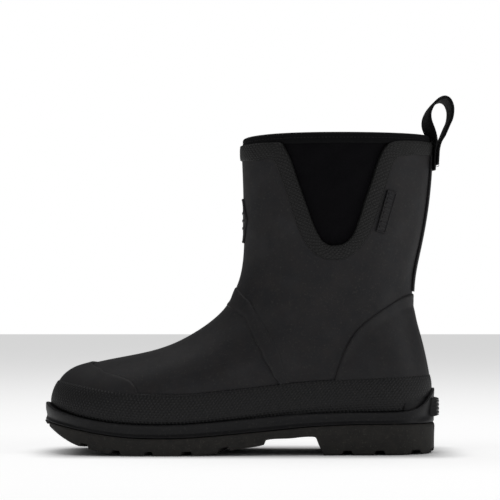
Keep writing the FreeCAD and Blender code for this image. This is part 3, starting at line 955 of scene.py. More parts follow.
@dataclass(frozen=True)
class Finishes:
    """Every material of the boot."""

    # Natural rubber sheet, vulcanised in a satin state: dark grey with brownish clouds and a dull bloom.
    shell: Finish = Finish(
        "vulcanised_rubber_sheet", "17171a", "211e1e", 0.58, cloud_mm=12.0, cloud_share=0.7,
        bloom="2e2e30", bloom_share=0.35, speck="2a2927", speck_mm=1.6, grain_height=0.05,
    )
    # Same rubber in the bonded pieces, pressed smoother in the mould.
    overlay: Finish = Finish(
        "pressed_rubber_overlay", "17171a", "201d1d", 0.54, cloud_mm=11.0, cloud_share=0.65,
        bloom="303030", bloom_share=0.35, speck="272624", speck_mm=1.6, grain_height=0.04,
    )
    # Rubber tape rolled on a woven cloth: its print is drawn about as coarse as it shows, with painted shade
    # in its hollows.
    tape: Finish = Finish(
        "cloth_printed_rubber_tape", "1c1c1c", "262524", 0.58, cloud_mm=12.0, speck="2c2b2a",
        pattern=Pattern.WOVEN, pitch_mm=(2.4, 2.4), pattern_turn=0.785, pattern_height=0.4,
        hollow_painted_shade=0.6,
    )
    # Foxing strip from an engraved roller: small diamonds that catch the light, with painted shade between
    # them.
    foxing: Finish = Finish(
        "engraved_rubber_foxing", "19191b", "22201f", 0.52, cloud_mm=9.0, speck="302e2c", speck_mm=1.8,
        pattern=Pattern.DIAMOND, pitch_mm=(2.4, 2.4), pattern_turn=0.62, pattern_height=0.4,
        hollow_painted_shade=0.6,
    )
    # Moulded midsole with a glossy skin.
    midsole: Finish = Finish(
        "moulded_rubber_midsole", "0d0d0f", "151516", 0.46, cloud_mm=14.0, speck="282726", speck_mm=1.5,
        grain_height=0.025, specular=0.18,
    )
    # Carbon-black outsole, matt and dusty with a fine speckle.
    outsole: Finish = Finish(
        "moulded_carbon_rubber_outsole", "1a1918", "262421", 0.68, cloud_mm=7.0, cloud_share=0.8,
        speck="34322e", speck_mm=1.3, grain_height=0.07,
    )
    # Neoprene foam faced with fine nylon jersey, which swallows most light.
    neoprene: Finish = Finish(
        "jersey_faced_neoprene", "060508", "0a090f", 0.85, cloud_mm=20.0, grain_mm=0.9, grain_height=0.05,
        pattern=Pattern.WOVEN, pitch_mm=(1.4, 1.1), pattern_height=0.05, hollow_painted_shade=0.25,
        specular=0.1,
    )
    # Spacer mesh lining with open cells, drawn as hollows with painted shade.
    lining: Finish = Finish(
        "knitted_mesh_lining", "141416", "1c1c1f", 0.85, cloud_mm=24.0, pattern=Pattern.DIAMOND,
        pitch_mm=(2.6, 2.6), pattern_turn=1.05, pattern_height=0.3, hollow_painted_shade=0.6, sheen=0.08,
    )
    # Stretch binding tape, a close plain weave.
    binding: Finish = Finish(
        "stretch_binding_cloth", "08080a", "0d0d0f", 0.82, cloud_mm=18.0, pattern=Pattern.RIBBED,
        pitch_mm=(1.3, 1.3), pattern_turn=0.5, pattern_height=0.06, hollow_painted_shade=0.3, specular=0.12,
    )
    # Spun polyester thread, a little brighter than the cloth it holds.
    thread: Finish = Finish("spun_polyester_thread", "151516", "1c1c1d", 0.65, cloud_mm=3.0, specular=0.2)
    # Nylon webbing, woven in ribs across its length.
    webbing: Finish = Finish(
        "woven_nylon_webbing", "0c0c0d", "131314", 0.66, cloud_mm=15.0, pattern=Pattern.WOVEN,
        pitch_mm=(1.7, 2.4), pattern_height=0.22, hollow_painted_shade=0.45, specular=0.12,
    )
    # Cast polyurethane foam of the footbed.
    foam: Finish = Finish("open_cell_foam", "2b2c2e", "343537", 0.9, cloud_mm=12.0, grain_mm=0.8)
    # Brushed polyester felt over the footbed.
    felt: Finish = Finish(
        "brushed_polyester_felt", "1d1d1f", "29292c", 0.92, cloud_mm=6.0, grain_mm=0.5, grain_height=0.2,
        specular=0.2, sheen=0.2,
    )
    # Pressed fibre board, tan with dark flecks.
    board: Finish = Finish(
        "pressed_fibre_board", "8a7558", "6d5a42", 0.88, cloud_mm=5.0, speck="4d4030", speck_mm=1.0,
        specular=0.3,
    )
    # Glass-filled nylon of the shank.
    shank: Finish = Finish("glass_filled_nylon", "202224", "282b2e", 0.48, cloud_mm=6.0, grain_height=0.02)
    # Softened thermoplastic sheet of the stiffeners.
    stiffener: Finish = Finish("thermoplastic_stiffener", "2f2a25", "3a332c", 0.7, cloud_mm=8.0)
    # Foamed rubber filler under the foot.
    filler: Finish = Finish(
        "foamed_rubber_filler", "29292b", "323235", 0.9, cloud_mm=5.0, grain_mm=1.0, grain_height=0.2,
    )


class Wardrobe:
    """Builds each finish once and puts it on pieces."""

    def __init__(self) -> None:
        """Start with no material built."""
        self.built: dict[str, bpy.types.Material] = {}

    def dress(self, piece: bpy.types.Object, finish: Finish, slot: str) -> bpy.types.Object:
        """Put one finish on a piece.

        Args:
            piece: The piece.
            finish: Its finish.
            slot: Material slot of the record; not used.

        Returns:
            The piece.
        """
        if finish.name not in self.built:
            self.built[finish.name] = finish.build()
        piece.data.materials.clear()
        piece.data.materials.append(self.built[finish.name])
        return piece


FINISH = Finishes()
WARDROBE = Wardrobe()


# ---------------------------------------------------------------- sub-assemblies


def dense(stations: np.ndarray, spacing: float) -> np.ndarray:
    """Return stations of a smooth path at an even spacing.

    Args:
        stations: Given rows of (turn, row, turn, row).
        spacing: Distance between the new ones, in mm.

    Returns:
        The new stations.
    """
    middle = (stations[:, :2] + stations[:, 2:]) / 2.0
    length = arc_lengths(SKIN.at(middle[:, 1], middle[:, 0]))
    table = np.concatenate([length[:, None], stations], axis=1)
    return curve(table, np.linspace(0.0, length[-1], int(length[-1] / spacing) + 1))


def both_sides(stations: np.ndarray) -> np.ndarray:
    """Add the medial half to lateral stations.

    Args:
        stations: Rows of (turn, row, turn, row) that end at the front centre.

    Returns:
        Stations of both halves.
    """
    mirrored = stations[-2::-1].copy()
    mirrored[:, [0, 2]] = SKIN.around - mirrored[:, [0, 2]]
    return np.concatenate([stations, mirrored])


@dataclass
class RubberUpper:
    """Rubber sheet of the foot and shaft with the pieces bonded on it."""

    shell_bottom: float = 27.0
    shell_top: float = 242.5
    wall: float = 1.9
    overlay: float = 1.3
    tape: float = 1.6
    foxing: float = 2.1
    stay_half_width: float = 8.0
    stay_levels: tuple[float, float] = (127.6, 237.5)
    opening_inset: float = 4.5
    opening_floor: float = 150.0
    seam_top: float = 124.0
    badge_levels: tuple[float, float] = (166.0, 202.0)
    badge_bars: tuple[float, ...] = (178.0, 184.0, 190.0)
    badge_outline: tuple[tuple[float, float], ...] = (
        (168.0, 6.0), (169.0, 6.6), (185.0, 13.5), (199.0, 6.6), (200.0, 6.0),
    )
    label_low: tuple[tuple[float, float], ...] = ((98.2, 174.6), (105.8, 172.4))
    label_top: tuple[tuple[float, float], ...] = ((107.3, 207.4), (115.2, 205.0))
    label_size: tuple[float, float] = (8.0, 34.0)

    def build(self) -> None:
        """Build and dress every piece."""
        self.panels()
        self.instep_strip()
        self.toe_cap()
        self.heel_overlay()
        self.foxing_band()
        self.collar_trim()
        self.back_stay()
        self.front_badge()
        self.side_label()

    def _crease(self, points: np.ndarray) -> np.ndarray:
        """Crease the rubber over the edge of the stiffener inside.

        Args:
            points: Points on the rubber, in mm.

        Returns:
            Height of the crease at each, which is negative.
        """
        along = np.linspace(STIFFENER_CREASE[0][0], STIFFENER_CREASE[-1][0], 25)
        line = np.stack([along, curve(STIFFENER_CREASE, along)], -1)
        gap, _ = to_line(points[..., 0], points[..., 2], line)
        return -0.45 * np.exp(-((gap / 3.0) ** 2))

    def panels(self) -> None:
        """Build the vamp and the shaft, split under the instep strip and cut out at the gussets."""
        turns = np.linspace(0.0, 40.0, 261)
        low = SKIN.level(self.shell_bottom, turns)
        high = SKIN.level(self.shell_top, turns)
        row, turn = climb(low, high, np.linspace(0.0, 1.0, 111), turns)
        flat = SKIN.at(row, turn)
        waves = np.sin(flat[..., 2] * 0.11 + turn * 0.9) * np.sin(flat[..., 0] * 0.07 - turn * 0.5)
        points = SKIN.at(row, turn, self._crease(flat) + 0.25 * waves)
        centre = (points[:-1, :-1] + points[1:, 1:]) / 2.0
        x, z = centre[..., 0], centre[..., 2]
        edge = np.asarray(SIDE_OPENING)
        gap, _ = to_line(x, z, edge)
        inside = (z > curve(SIDE_OPENING, x)) & (x > edge[0, 0]) & (x < edge[-1, 0])
        open_here = inside | ((gap < self.opening_inset) & (z > self.opening_floor))
        seam = np.asarray([((a + c) / 2.0, (b + d) / 2.0) for a, b, c, d in STRIP_STATIONS])[:, ::-1]
        front = x < curve([tuple(p) for p in seam] + [(124.5, -12.0), (132.0, -40.0)], z)
        vamp = front & (z < self.seam_top)
        outside = SKIN.frame_at(row, turn)[2]
        uv = surface_uv(points)
        shaft = ~vamp & ~open_here
        for name, node, keep in (("vamp_sheet", "vamp_panel", vamp), ("shaft_sheet", "shaft_panel", shaft)):
            piece = sheet_mesh(name, points, uv=uv, keep=keep, outside=outside, wall=self.wall)
            WARDROBE.dress(piece, FINISH.shell, "rubber_shell")
            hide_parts(node)

    def instep_strip(self) -> None:
        """Build the strip over the instep seam: a thin ridge in front and a soft edge behind."""
        table = np.asarray(STRIP_STATIONS)
        front_row, front_turn = SKIN.spot(table[:, 0], table[:, 1])
        rear_row, rear_turn = SKIN.spot(table[:, 2], table[:, 3])
        lateral = np.stack([front_turn, front_row, rear_turn, rear_row], -1)
        middle = np.array([20.0])
        low, high = (SKIN.level(height, middle)[0] for height in STRIP_FRONT)
        peak = [20.0, low, 20.0, high]
        path = dense(both_sides(np.concatenate([lateral, [peak]])), 1.8)
        share = np.array([0.0, 0.03, 0.07, 0.12, 0.18, 0.26, 0.4, 0.55, 0.7, 0.82, 0.89, 0.94, 0.97, 1.0])
        height = np.array([-0.6, 0.5, 0.95, 0.95, 0.5, 0.4, 0.5, 0.65, 0.8, 0.85, 0.8, 0.5, 0.0, -0.6])
        fade = np.abs(np.linspace(-1.0, 1.0, len(path)))[:, None]
        ridge = 0.4 + 0.8 * ease(0.1, 0.8, fade)
        shoulder = 0.5 + 0.7 * (1.0 - ease(0.3, 0.95, fade))
        strength = ridge * (1.0 - ease(0.3, 0.6, share)) + shoulder * ease(0.3, 0.6, share)
        height = np.where(height > 0.0, height * strength, height)
        piece = lay("instep_overlay", *cross(path, share), height, 0.6)
        WARDROBE.dress(piece, FINISH.shell, "rubber_overlay")
        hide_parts("instep_strip")

    def _patch(self, name: str, edge: list, centre: float, end: float) -> bpy.types.Object:
        """Build an overlay as rungs that cross from one side of the boot to the other.

        Args:
            name: Name of the piece.
            edge: Its edge on the lateral side as (x, z), from under the foxing up.
            centre: Turn of the middle of each rung, 0 at the heel and 20 at the toe.
            end: Height at which the edge crosses the middle.

        Returns:
            The new piece.
        """
        table = np.asarray(edge)
        row, turn = SKIN.spot(table[:, 0], table[:, 1])
        middle = np.array([centre])
        row = np.concatenate([row, SKIN.level(end, middle)])
        turn = np.concatenate([turn, middle])
        path = dense(np.stack([turn, row, turn, row], -1), 1.3)
        near = np.array([0.0, 0.015, 0.03, 0.05, 0.08, 0.12])
        side = np.concatenate([near, np.linspace(0.16, 1.0, 22)])
        share = np.concatenate([1.0 - side, (side - 1.0)[::-1][1:]])
        turns = centre + (path[:, None, 0] - centre) * share
        rows = np.broadcast_to(path[:, None, 1], turns.shape)
        flat = SKIN.at(rows, turns)
        rim = SKIN.at(path[:, 1], path[:, 0])
        gap, _ = to_line(flat[..., 0], flat[..., 2], rim[:, [0, 2]])
        rise = rounding(gap, np.full(gap.shape, 1.2))
        lip = 0.15 * np.exp(-(((gap - 2.0) / 1.4) ** 2))
        height = -0.5 + (self.overlay + 0.5) * rise + lip + self._crease(flat)
        return lay(name, rows, turns, height, 0.8)

    def toe_cap(self) -> None:
        """Build the toe cap."""
        piece = self._patch("toe_bumper", TOE_CAP_EDGE, 20.0, TOE_CAP_TOP)
        WARDROBE.dress(piece, FINISH.overlay, "rubber_overlay")
        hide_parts("toe_cap")

    def heel_overlay(self) -> None:
        """Build the heel counter overlay."""
        piece = self._patch("heel_counter", HEEL_EDGE, 0.0, HEEL_TOP)
        WARDROBE.dress(piece, FINISH.overlay, "rubber_overlay")
        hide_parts("heel_overlay")

    def foxing_band(self) -> None:
        """Build the band over the joint of upper and sole."""
        turns = np.linspace(0.0, 40.0, 401)
        low = SKIN.ring(MIDSOLE_TOP, turns, 1.0, lift=-3.0)
        high = SKIN.ring(FOXING_TOP, turns, 1.0)
        profile = [
            (0.0, 0.0), (0.07, 0.2), (0.11, 0.7), (0.14, 1.3), (0.18, 1.85), (0.25, 2.2), (0.35, 2.4),
            (0.5, 2.5), (0.65, 2.45), (0.78, 2.3), (0.87, 2.1), (0.92, 1.85), (0.955, 1.3), (0.98, 0.6),
            (1.0, -0.5),
        ]
        share, height = np.asarray(profile).T
        row, turn = climb(low, high, share, turns)
        full = 1.0 + 0.18 * np.exp(-(((turn % 40.0) - 20.0) / 4.0) ** 2)
        height = np.where(height > 0.0, height * self.foxing / height.max() * full, height)
        piece = lay("foxing", row, turn, height, 1.2, anchor=1.0)
        WARDROBE.dress(piece, FINISH.foxing, "rubber_foxing")
        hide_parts("foxing_band")

    def _tape_path(self) -> np.ndarray:
        """Lead the collar tape once round the boot from the back centre.

        Returns:
            Its stations (turn, row, turn, row), outer edge first.
        """
        table = np.asarray(TAPE_STATIONS)[::-1]
        outer_row, outer_turn = SKIN.spot(table[:, 0], table[:, 1])
        inner_row, inner_turn = SKIN.spot(table[:, 2], table[:, 3])
        side = np.stack([outer_turn, outer_row, inner_turn, inner_row], -1)
        back = np.array([0.0, 1.2, 2.6, 4.0])
        front = np.array([17.8, 18.9, 20.0])
        lower, upper = (SKIN.level(height, back) for height in TAPE_BACK)
        low = np.stack([back, lower, back, upper], -1)
        lower, upper = (SKIN.level(height, front) for height in TAPE_FRONT)
        top = np.stack([front, lower, front, upper], -1)
        top[0, 1] -= 0.03
        return both_sides(np.concatenate([low, side, top]))

    def collar_trim(self) -> None:
        """Build the printed tape along the collar and round both gussets."""
        path = dense(self._tape_path(), 1.5)
        profile = [
            (0.0, -0.4), (0.02, 0.7), (0.05, 1.3), (0.09, 1.55), (0.12, 1.3), (0.15, 1.55), (0.2, 1.65),
            (0.3, 1.7), (0.4, 1.75), (0.5, 1.75), (0.6, 1.75), (0.7, 1.7), (0.8, 1.65), (0.85, 1.55),
            (0.88, 1.3), (0.91, 1.55), (0.95, 1.3), (0.98, 0.7), (1.0, -2.4),
        ]
        share, height = np.asarray(profile).T
        piece = lay("collar_tape", *cross(path, share), height * self.tape / height.max(), 1.6)
        WARDROBE.dress(piece, FINISH.tape, "rubber_tape")
        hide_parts("collar_trim")

    def _turn_at(self, rows: np.ndarray, y: np.ndarray, front: bool) -> np.ndarray:
        """Return the turn at which each row reaches a sideways place.

        Args:
            rows: Row positions.
            y: Sideways places in mm.
            front: Whether it lies on the front of the boot.

        Returns:
            Turn positions.
        """
        fan = np.linspace(-3.5, 3.5, 57) + (20.0 if front else 0.0)
        sideways = SKIN.at(rows[..., None], np.broadcast_to(fan, rows.shape + fan.shape))[..., 1]
        found = np.empty(rows.shape)
        for index in np.ndindex(rows.shape):
            line = sideways[index]
            order = np.argsort(line)
            found[index] = np.interp(y[index], line[order], fan[order])
        return found

    def back_stay(self) -> None:
        """Build the flat strip up the back."""
        levels = np.linspace(*self.stay_levels, 50)
        rows = SKIN.levels(levels, np.array([0.0]))[0]
        across, height = rim_profile(2.0 * self.stay_half_width, 2.0, 0.7, 0.4, 1.6)
        sideways = np.asarray(across) - self.stay_half_width
        grid = np.broadcast_to(rows[:, None], (len(rows), len(sideways)))
        turn = self._turn_at(grid, np.broadcast_to(sideways, grid.shape), False)
        piece = lay("spine_strip", grid, turn, np.asarray(height), 0.6)
        WARDROBE.dress(piece, FINISH.overlay, "rubber_overlay")
        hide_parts("back_stay")

    def front_badge(self) -> None:
        """Build the plain badge on the shin: a raised rim, a sunk field and three level bars."""
        low, high = self.badge_levels
        levels = np.linspace(low, high, 73)
        share = np.linspace(-1.0, 1.0, 49)
        half = np.interp(levels, *np.asarray(self.badge_outline).T)
        rows = SKIN.levels(levels, np.array([20.0]))[0]
        grid = np.broadcast_to(rows[:, None], (len(levels), len(share)))
        y = half[:, None] * share[None, :]
        z = np.broadcast_to(levels[:, None], y.shape)
        turn = self._turn_at(grid, y, True)
        rim = np.minimum((half[:, None] - np.abs(y)) * 0.92, np.minimum(z - low, high - z))
        sunk = ease(2.0, 2.8, rim)
        bars = sum(np.exp(-(((z - level) / 1.1) ** 4)) for level in self.badge_bars) * ease(3.4, 4.2, rim)
        height = -0.5 + 2.0 * rounding(rim, np.full(rim.shape, 1.0)) - 0.7 * sunk + 0.6 * bars
        piece = lay("shin_badge", grid, turn, height, 0.5)
        WARDROBE.dress(piece, FINISH.overlay, "rubber_overlay")
        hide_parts("front_badge")

    def side_label(self) -> None:
        """Build the plain slanted label on the outer side, with a row of short bars."""
        u, v = np.meshgrid(np.linspace(0.0, 1.0, 33), np.linspace(0.0, 1.0, 101))
        low_front, low_rear, top_front, top_rear = np.asarray(self.label_low + self.label_top)
        place = (low_front * (1 - u)[..., None] + low_rear * u[..., None]) * (1 - v)[..., None]
        place = place + (top_front * (1 - u)[..., None] + top_rear * u[..., None]) * v[..., None]
        row, turn = SKIN.spot(place[..., 0].ravel(), place[..., 1].ravel())
        row, turn = row.reshape(u.shape), turn.reshape(u.shape)
        width, length = self.label_size
        rim = np.minimum(np.minimum(u, 1.0 - u) * width, np.minimum(v, 1.0 - v) * length)
        bars = (np.sin(v * math.pi * 18.0 + u * 2.2) > 0.1) * ease(1.5, 1.9, rim)
        sunk = ease(0.9, 1.3, rim)
        height = -0.4 + 2.3 * rounding(rim, np.full(rim.shape, 0.7)) - 0.8 * sunk + 0.7 * bars
        piece = lay("quarter_label", row, turn, height, 0.5)
        WARDROBE.dress(piece, FINISH.overlay, "rubber_overlay")
        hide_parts("side_label")


@dataclass
class SoleUnit:
    """Midsole, lugged outsole and the kick block at the heel."""

    stations: int = 640
    midsole_flare: float = 3.8
    outsole_flare: float = 3.6
    toe_bulge: float = 1.7
    kick_flare: float = 7.2
    kick_half_width: float = 16.0
    kick_levels: tuple[float, float] = (28.5, 43.5)
    kick_rib_pitch: float = 3.0
    channel: tuple[float, float] = (17.0, 20.5)
    notch_lean: float = 0.28
    inner_lean: float = 0.45
    inner_start: float = 12.0
    inner_width: float = 7.0
    tread_spine: tuple[float, float] = (-112.0, 104.0)

    def build(self) -> None:
        """Build and dress every piece."""
        self.midsole()
        self.outsole()
        self.kick_block()

    def _toe(self, turns: np.ndarray) -> np.ndarray:
        """Return how much further the sole stands out round the toe."""
        return self.toe_bulge * (1.0 - ease(1.5, 5.5, np.abs(turns - 20.0)))

    def midsole(self) -> None:
        """Build the midsole: two rolled lips with a smooth hollow between them."""
        turns = np.linspace(0.0, 40.0, 401)
        toe = self._toe(turns)[:, None]
        low = SKIN.ring(GROOVE_LINE, turns, self.midsole_flare, lift=0.3)
        high = SKIN.ring(MIDSOLE_TOP, turns, self.midsole_flare)
        profile = [
            (0.0, -3.0), (0.0, 2.3), (0.03, 3.0), (0.08, 3.0), (0.14, 2.6), (0.22, 2.1), (0.32, 2.2),
            (0.45, 2.7), (0.58, 3.2), (0.7, 3.5), (0.8, 3.7), (0.88, 3.8), (0.94, 3.9), (0.98, 3.8),
            (1.0, 3.4), (1.01, 2.5), (1.0, -0.4),
        ]
        share, flare = np.asarray(profile).T
        tail = ease(9.0, 15.0, np.abs((turns + 20.0) % 40.0 - 20.0))[:, None]
        row, turn = climb(low, high, share, turns)
        fine = 0.22 * np.exp(-(((share - 0.2) / 0.05) ** 2)) * (1.0 - tail)
        piece = lay("rolled_midsole", row, turn, flare + fine + toe * (flare > 0.0), 2.0)
        WARDROBE.dress(piece, FINISH.midsole, "rubber_midsole")
        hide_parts("midsole")

    def _tread(self, x: np.ndarray, y: np.ndarray, centre: np.ndarray, edge_height: np.ndarray) -> np.ndarray:
        """Return the height of the tread's underside.

        Args:
            x: Positions along the boot.
            y: Sideways places.
            centre: Sideways place of the centre line.
            edge_height: Height of the underside before the notches.

        Returns:
            Heights in mm.
        """
        off = np.abs(y - centre)
        slant = x + self.notch_lean * (off - 40.0)
        middle = x - self.inner_lean * off
        notch, inner = 0.0, 0.0
        for start, width in TREAD_NOTCHES:
            end = start + width
            notch += ease(start - 0.5, start + 0.5, slant) * (1.0 - ease(end - 0.5, end + 0.5, slant))
            start += self.inner_start
            end = start + self.inner_width
            inner += ease(start, start + 1.0, middle) * (1.0 - ease(end, end + 1.0, middle))
        ring, outer = (ease(place - 0.5, place + 0.5, off) for place in self.channel)
        cut = np.maximum(np.maximum(notch * outer, inner * (1.0 - ring)), ring * (1.0 - outer))
        flat_arch = ease(8.0, 14.0, x) * (1.0 - ease(50.0, 57.0, x))
        return np.maximum(edge_height, 0.0) + NOTCH_DEPTH * cut * (1.0 - flat_arch)

    def outsole(self) -> None:
        """Build the outsole as one closed shell: wall, rounded lower edge and cut tread."""
        turns = np.linspace(0.0, 40.0, self.stations + 1)
        flare = self.outsole_flare + self._toe(turns)
        top = SKIN.ring(GROOVE_LINE, turns, self.outsole_flare, lift=-0.15)
        bottom = SKIN.ring(SOLE_LINE, turns, self.outsole_flare)
        edge = SKIN.at(bottom, turns, flare)
        x, y = edge[:, 0], edge[:, 1]
        centre = curve(FOOT_PLAN, x)[:, 2]
        raised = self._tread(x, y, centre, edge[:, 2])
        wall_top = SKIN.at(top, turns, flare)
        wall = [
            (0.0, -0.9), (0.05, -0.3), (0.12, 0.0), (0.22, -0.05), (0.4, -0.1), (0.6, -0.1), (0.8, -0.05),
            (0.93, 0.0),
        ]
        rows = [SKIN.at(top, turns, -2.0), SKIN.at(top, turns, 1.0)]
        outward = SKIN.frame_at(top, turns)[2] * np.array([1.0, 1.0, 0.0])
        for part, offset in wall:
            place = wall_top * (1.0 - part) + edge * part
            place[:, 2] = wall_top[:, 2] * (1.0 - part) + raised * part
            rows.append(place + outward * offset)
        rim = edge.copy()
        rim[:, 2] = raised
        rows.append(rim - outward * 0.35)
        spine_x = np.clip(x, *self.tread_spine)
        spine_y = curve(FOOT_PLAN, spine_x)[:, 2]
        for part in np.linspace(0.03, 1.0, 42):
            px = x + (spine_x - x) * part
            py = y + (spine_y - y) * part
            middle = curve(FOOT_PLAN, px)[:, 2]
            pz = self._tread(px, py, middle, curve(SOLE_LINE, px))
            rows.append(np.stack([px, py, pz], -1))
        points = np.stack(rows, 1)
        outside = points - np.stack([spine_x, spine_y, np.full(len(x), 12.0)], -1)[:, None, :]
        piece = sheet_mesh("lugged_outsole", points, uv=surface_uv(points), outside=outside)
        WARDROBE.dress(piece, FINISH.outsole, "rubber_outsole")
        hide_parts("outsole")

    def kick_block(self) -> None:
        """Build the ribbed block that helps the other foot to push the boot off."""
        low, high = self.kick_levels
        levels = np.linspace(low - 1.0, high + 1.0, 68)
        turns = np.linspace(-3.6, 3.6, 61)
        flare = self.midsole_flare
        rows = SKIN.levels(levels, turns, flare).T
        turn = np.broadcast_to(turns[None, :], rows.shape)
        flat = SKIN.at(rows, turn, flare)
        rim = np.minimum(levels - low, high - levels)[:, None]
        rim = np.minimum(self.kick_half_width - np.abs(flat[..., 1]), rim)
        wave = 0.5 - 0.5 * np.cos((levels - low) * 2.0 * math.pi / self.kick_rib_pitch)
        ribs = wave[:, None] * ease(0.8, 1.8, rim)
        height = 1.0 + (self.kick_flare - 1.0) * rounding(rim, np.full(rim.shape, 1.4)) - 0.45 * ribs
        piece = lay("kick_ledge", rows, turn, height, 2.5)
        WARDROBE.dress(piece, FINISH.midsole, "rubber_midsole")
        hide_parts("heel_kick_block")


@dataclass
class Bootie:
    """Neoprene leg that shows in the gussets, mesh lining, and the bound top edge."""

    gusset_depth: float = -2.0
    lining_depth: float = -7.4
    leg_levels: tuple[float, float] = (140.0, 248.6)
    top: float = 252.0
    top_dip: float = 1.9
    stitch_level: float = 247.7
    stitch_drop: float = 4.35
    stitch_pitch: float = 2.8
    stitch_length: float = 2.1
    thread_radius: float = 0.32

    def build(self) -> None:
        """Build and dress every piece."""
        self.leg()
        self.inside()
        self.binding()

    def leg(self) -> None:
        """Build the neoprene leg with the slight creases of a stretched gusset."""
        turns = np.linspace(0.0, 40.0, 281)
        levels = np.linspace(*self.leg_levels, 90)
        rows = SKIN.levels(levels, turns)
        turn = np.broadcast_to(turns[:, None], rows.shape)
        x = SKIN.at(rows, turn)[..., 0]
        z = levels[None, :]
        crease = 0.3 * np.sin(z * 0.16 + x * 0.05) * np.sin(z * 0.05 - x * 0.11)
        crease = crease + 0.15 * np.sin(z * 0.37 - x * 0.2)
        piece = lay("neoprene_leg", rows, turn, self.gusset_depth - 0.2 + crease, 3.6)
        WARDROBE.dress(piece, FINISH.neoprene, "neoprene")
        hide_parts("bootie_leg")

    def inside(self) -> None:
        """Build the lining as one sock that closes under the foot."""
        turns = np.linspace(0.0, 40.0, 201)
        low = SKIN.ring(FEATHER_LINE, turns, self.lining_depth, lift=6.0)
        high = SKIN.level(249.0, turns, self.lining_depth)
        points = SKIN.at(*climb(low, high, np.linspace(0.0, 1.0, 110), turns), self.lining_depth)
        rim = points[:, :1]
        spine_x = np.clip(rim[..., 0], *SOCK_SPINE)
        spine_z = curve(FEATHER_LINE, spine_x) + 5.6
        spine = np.stack([spine_x, curve(FOOT_PLAN, spine_x)[..., 2], spine_z], -1)
        floor = spine + (rim - spine) * np.linspace(0.0, 0.96, 12)[None, :, None]
        points = np.concatenate([floor, points], axis=1)
        centre = points.mean(0, keepdims=True)
        piece = sheet_mesh("mesh_lining", points, uv=surface_uv(points), outside=centre - points)
        WARDROBE.dress(piece, FINISH.lining, "mesh_cloth")
        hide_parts("lining_leg", "lining_foot")

    def _binding_place(self, turns: np.ndarray, out: float, up: float) -> np.ndarray:
        """Return places on the binding.

        Args:
            turns: Turn positions.
            out: Depth from the rubber's face, in mm.
            up: Height below the top edge, in mm.

        Returns:
            Points in mm.
        """
        top = self.top - self.top_dip * np.exp(-((((turns % 40.0) - 20.0) / 4.5) ** 2))
        rows = SKIN.level(self.stitch_level + 0.3, turns)
        place = SKIN.at(rows, turns, out)
        place[..., 2] = top - up
        return place

    def binding(self) -> None:
        """Build the folded binding and its row of stitches."""
        turns = np.linspace(0.0, 40.0, 421)
        outline = [
            (-1.6, 8.8), (-0.9, 8.3), (-0.55, 7.4), (-0.5, 6.4), (-0.75, 5.2), (-1.15, 4.5), (-1.2, 4.2),
            (-1.1, 3.7), (-0.85, 2.9), (-1.1, 1.7), (-1.9, 0.7), (-3.2, 0.1), (-5.0, 0.0), (-6.8, 0.2),
            (-8.1, 0.9), (-8.9, 2.0), (-9.0, 3.6), (-8.7, 4.4), (-9.0, 5.4), (-9.1, 7.4), (-8.4, 8.5),
            (-7.6, 8.8),
        ]
        points = np.stack([self._binding_place(turns, out, up) for out, up in outline + outline[:1]], 1)
        middle = self._binding_place(turns, -5.0, 4.5)[:, None, :]
        piece = sheet_mesh("collar_binding", points, uv=surface_uv(points), outside=points - middle)
        WARDROBE.dress(piece, FINISH.binding, "binding_cloth")
        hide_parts("top_binding")
        ring = self._binding_place(turns, -1.0, self.stitch_drop)
        length = arc_lengths(ring)
        count = int(length[-1] / self.stitch_pitch)
        at = (np.arange(count) + 0.5) * length[-1] / count
        place = np.stack([np.interp(at, length, ring[:, k]) for k in range(3)], -1)
        ahead = np.stack([np.interp(at + 0.5, length, ring[:, k]) for k in range(3)], -1) - place
        normals = np.cross(ahead, (0.0, 0.0, 1.0)) * -1.0
        flip = np.sign((normals * (place - ring.mean(0))).sum(-1))[:, None]
        path = np.stack([place, ahead], 1)
        threads = strand("binding_thread", path, self.thread_radius, self.stitch_length, normals * flip)
        WARDROBE.dress(threads, FINISH.thread, "thread")
        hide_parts("binding_stitches")


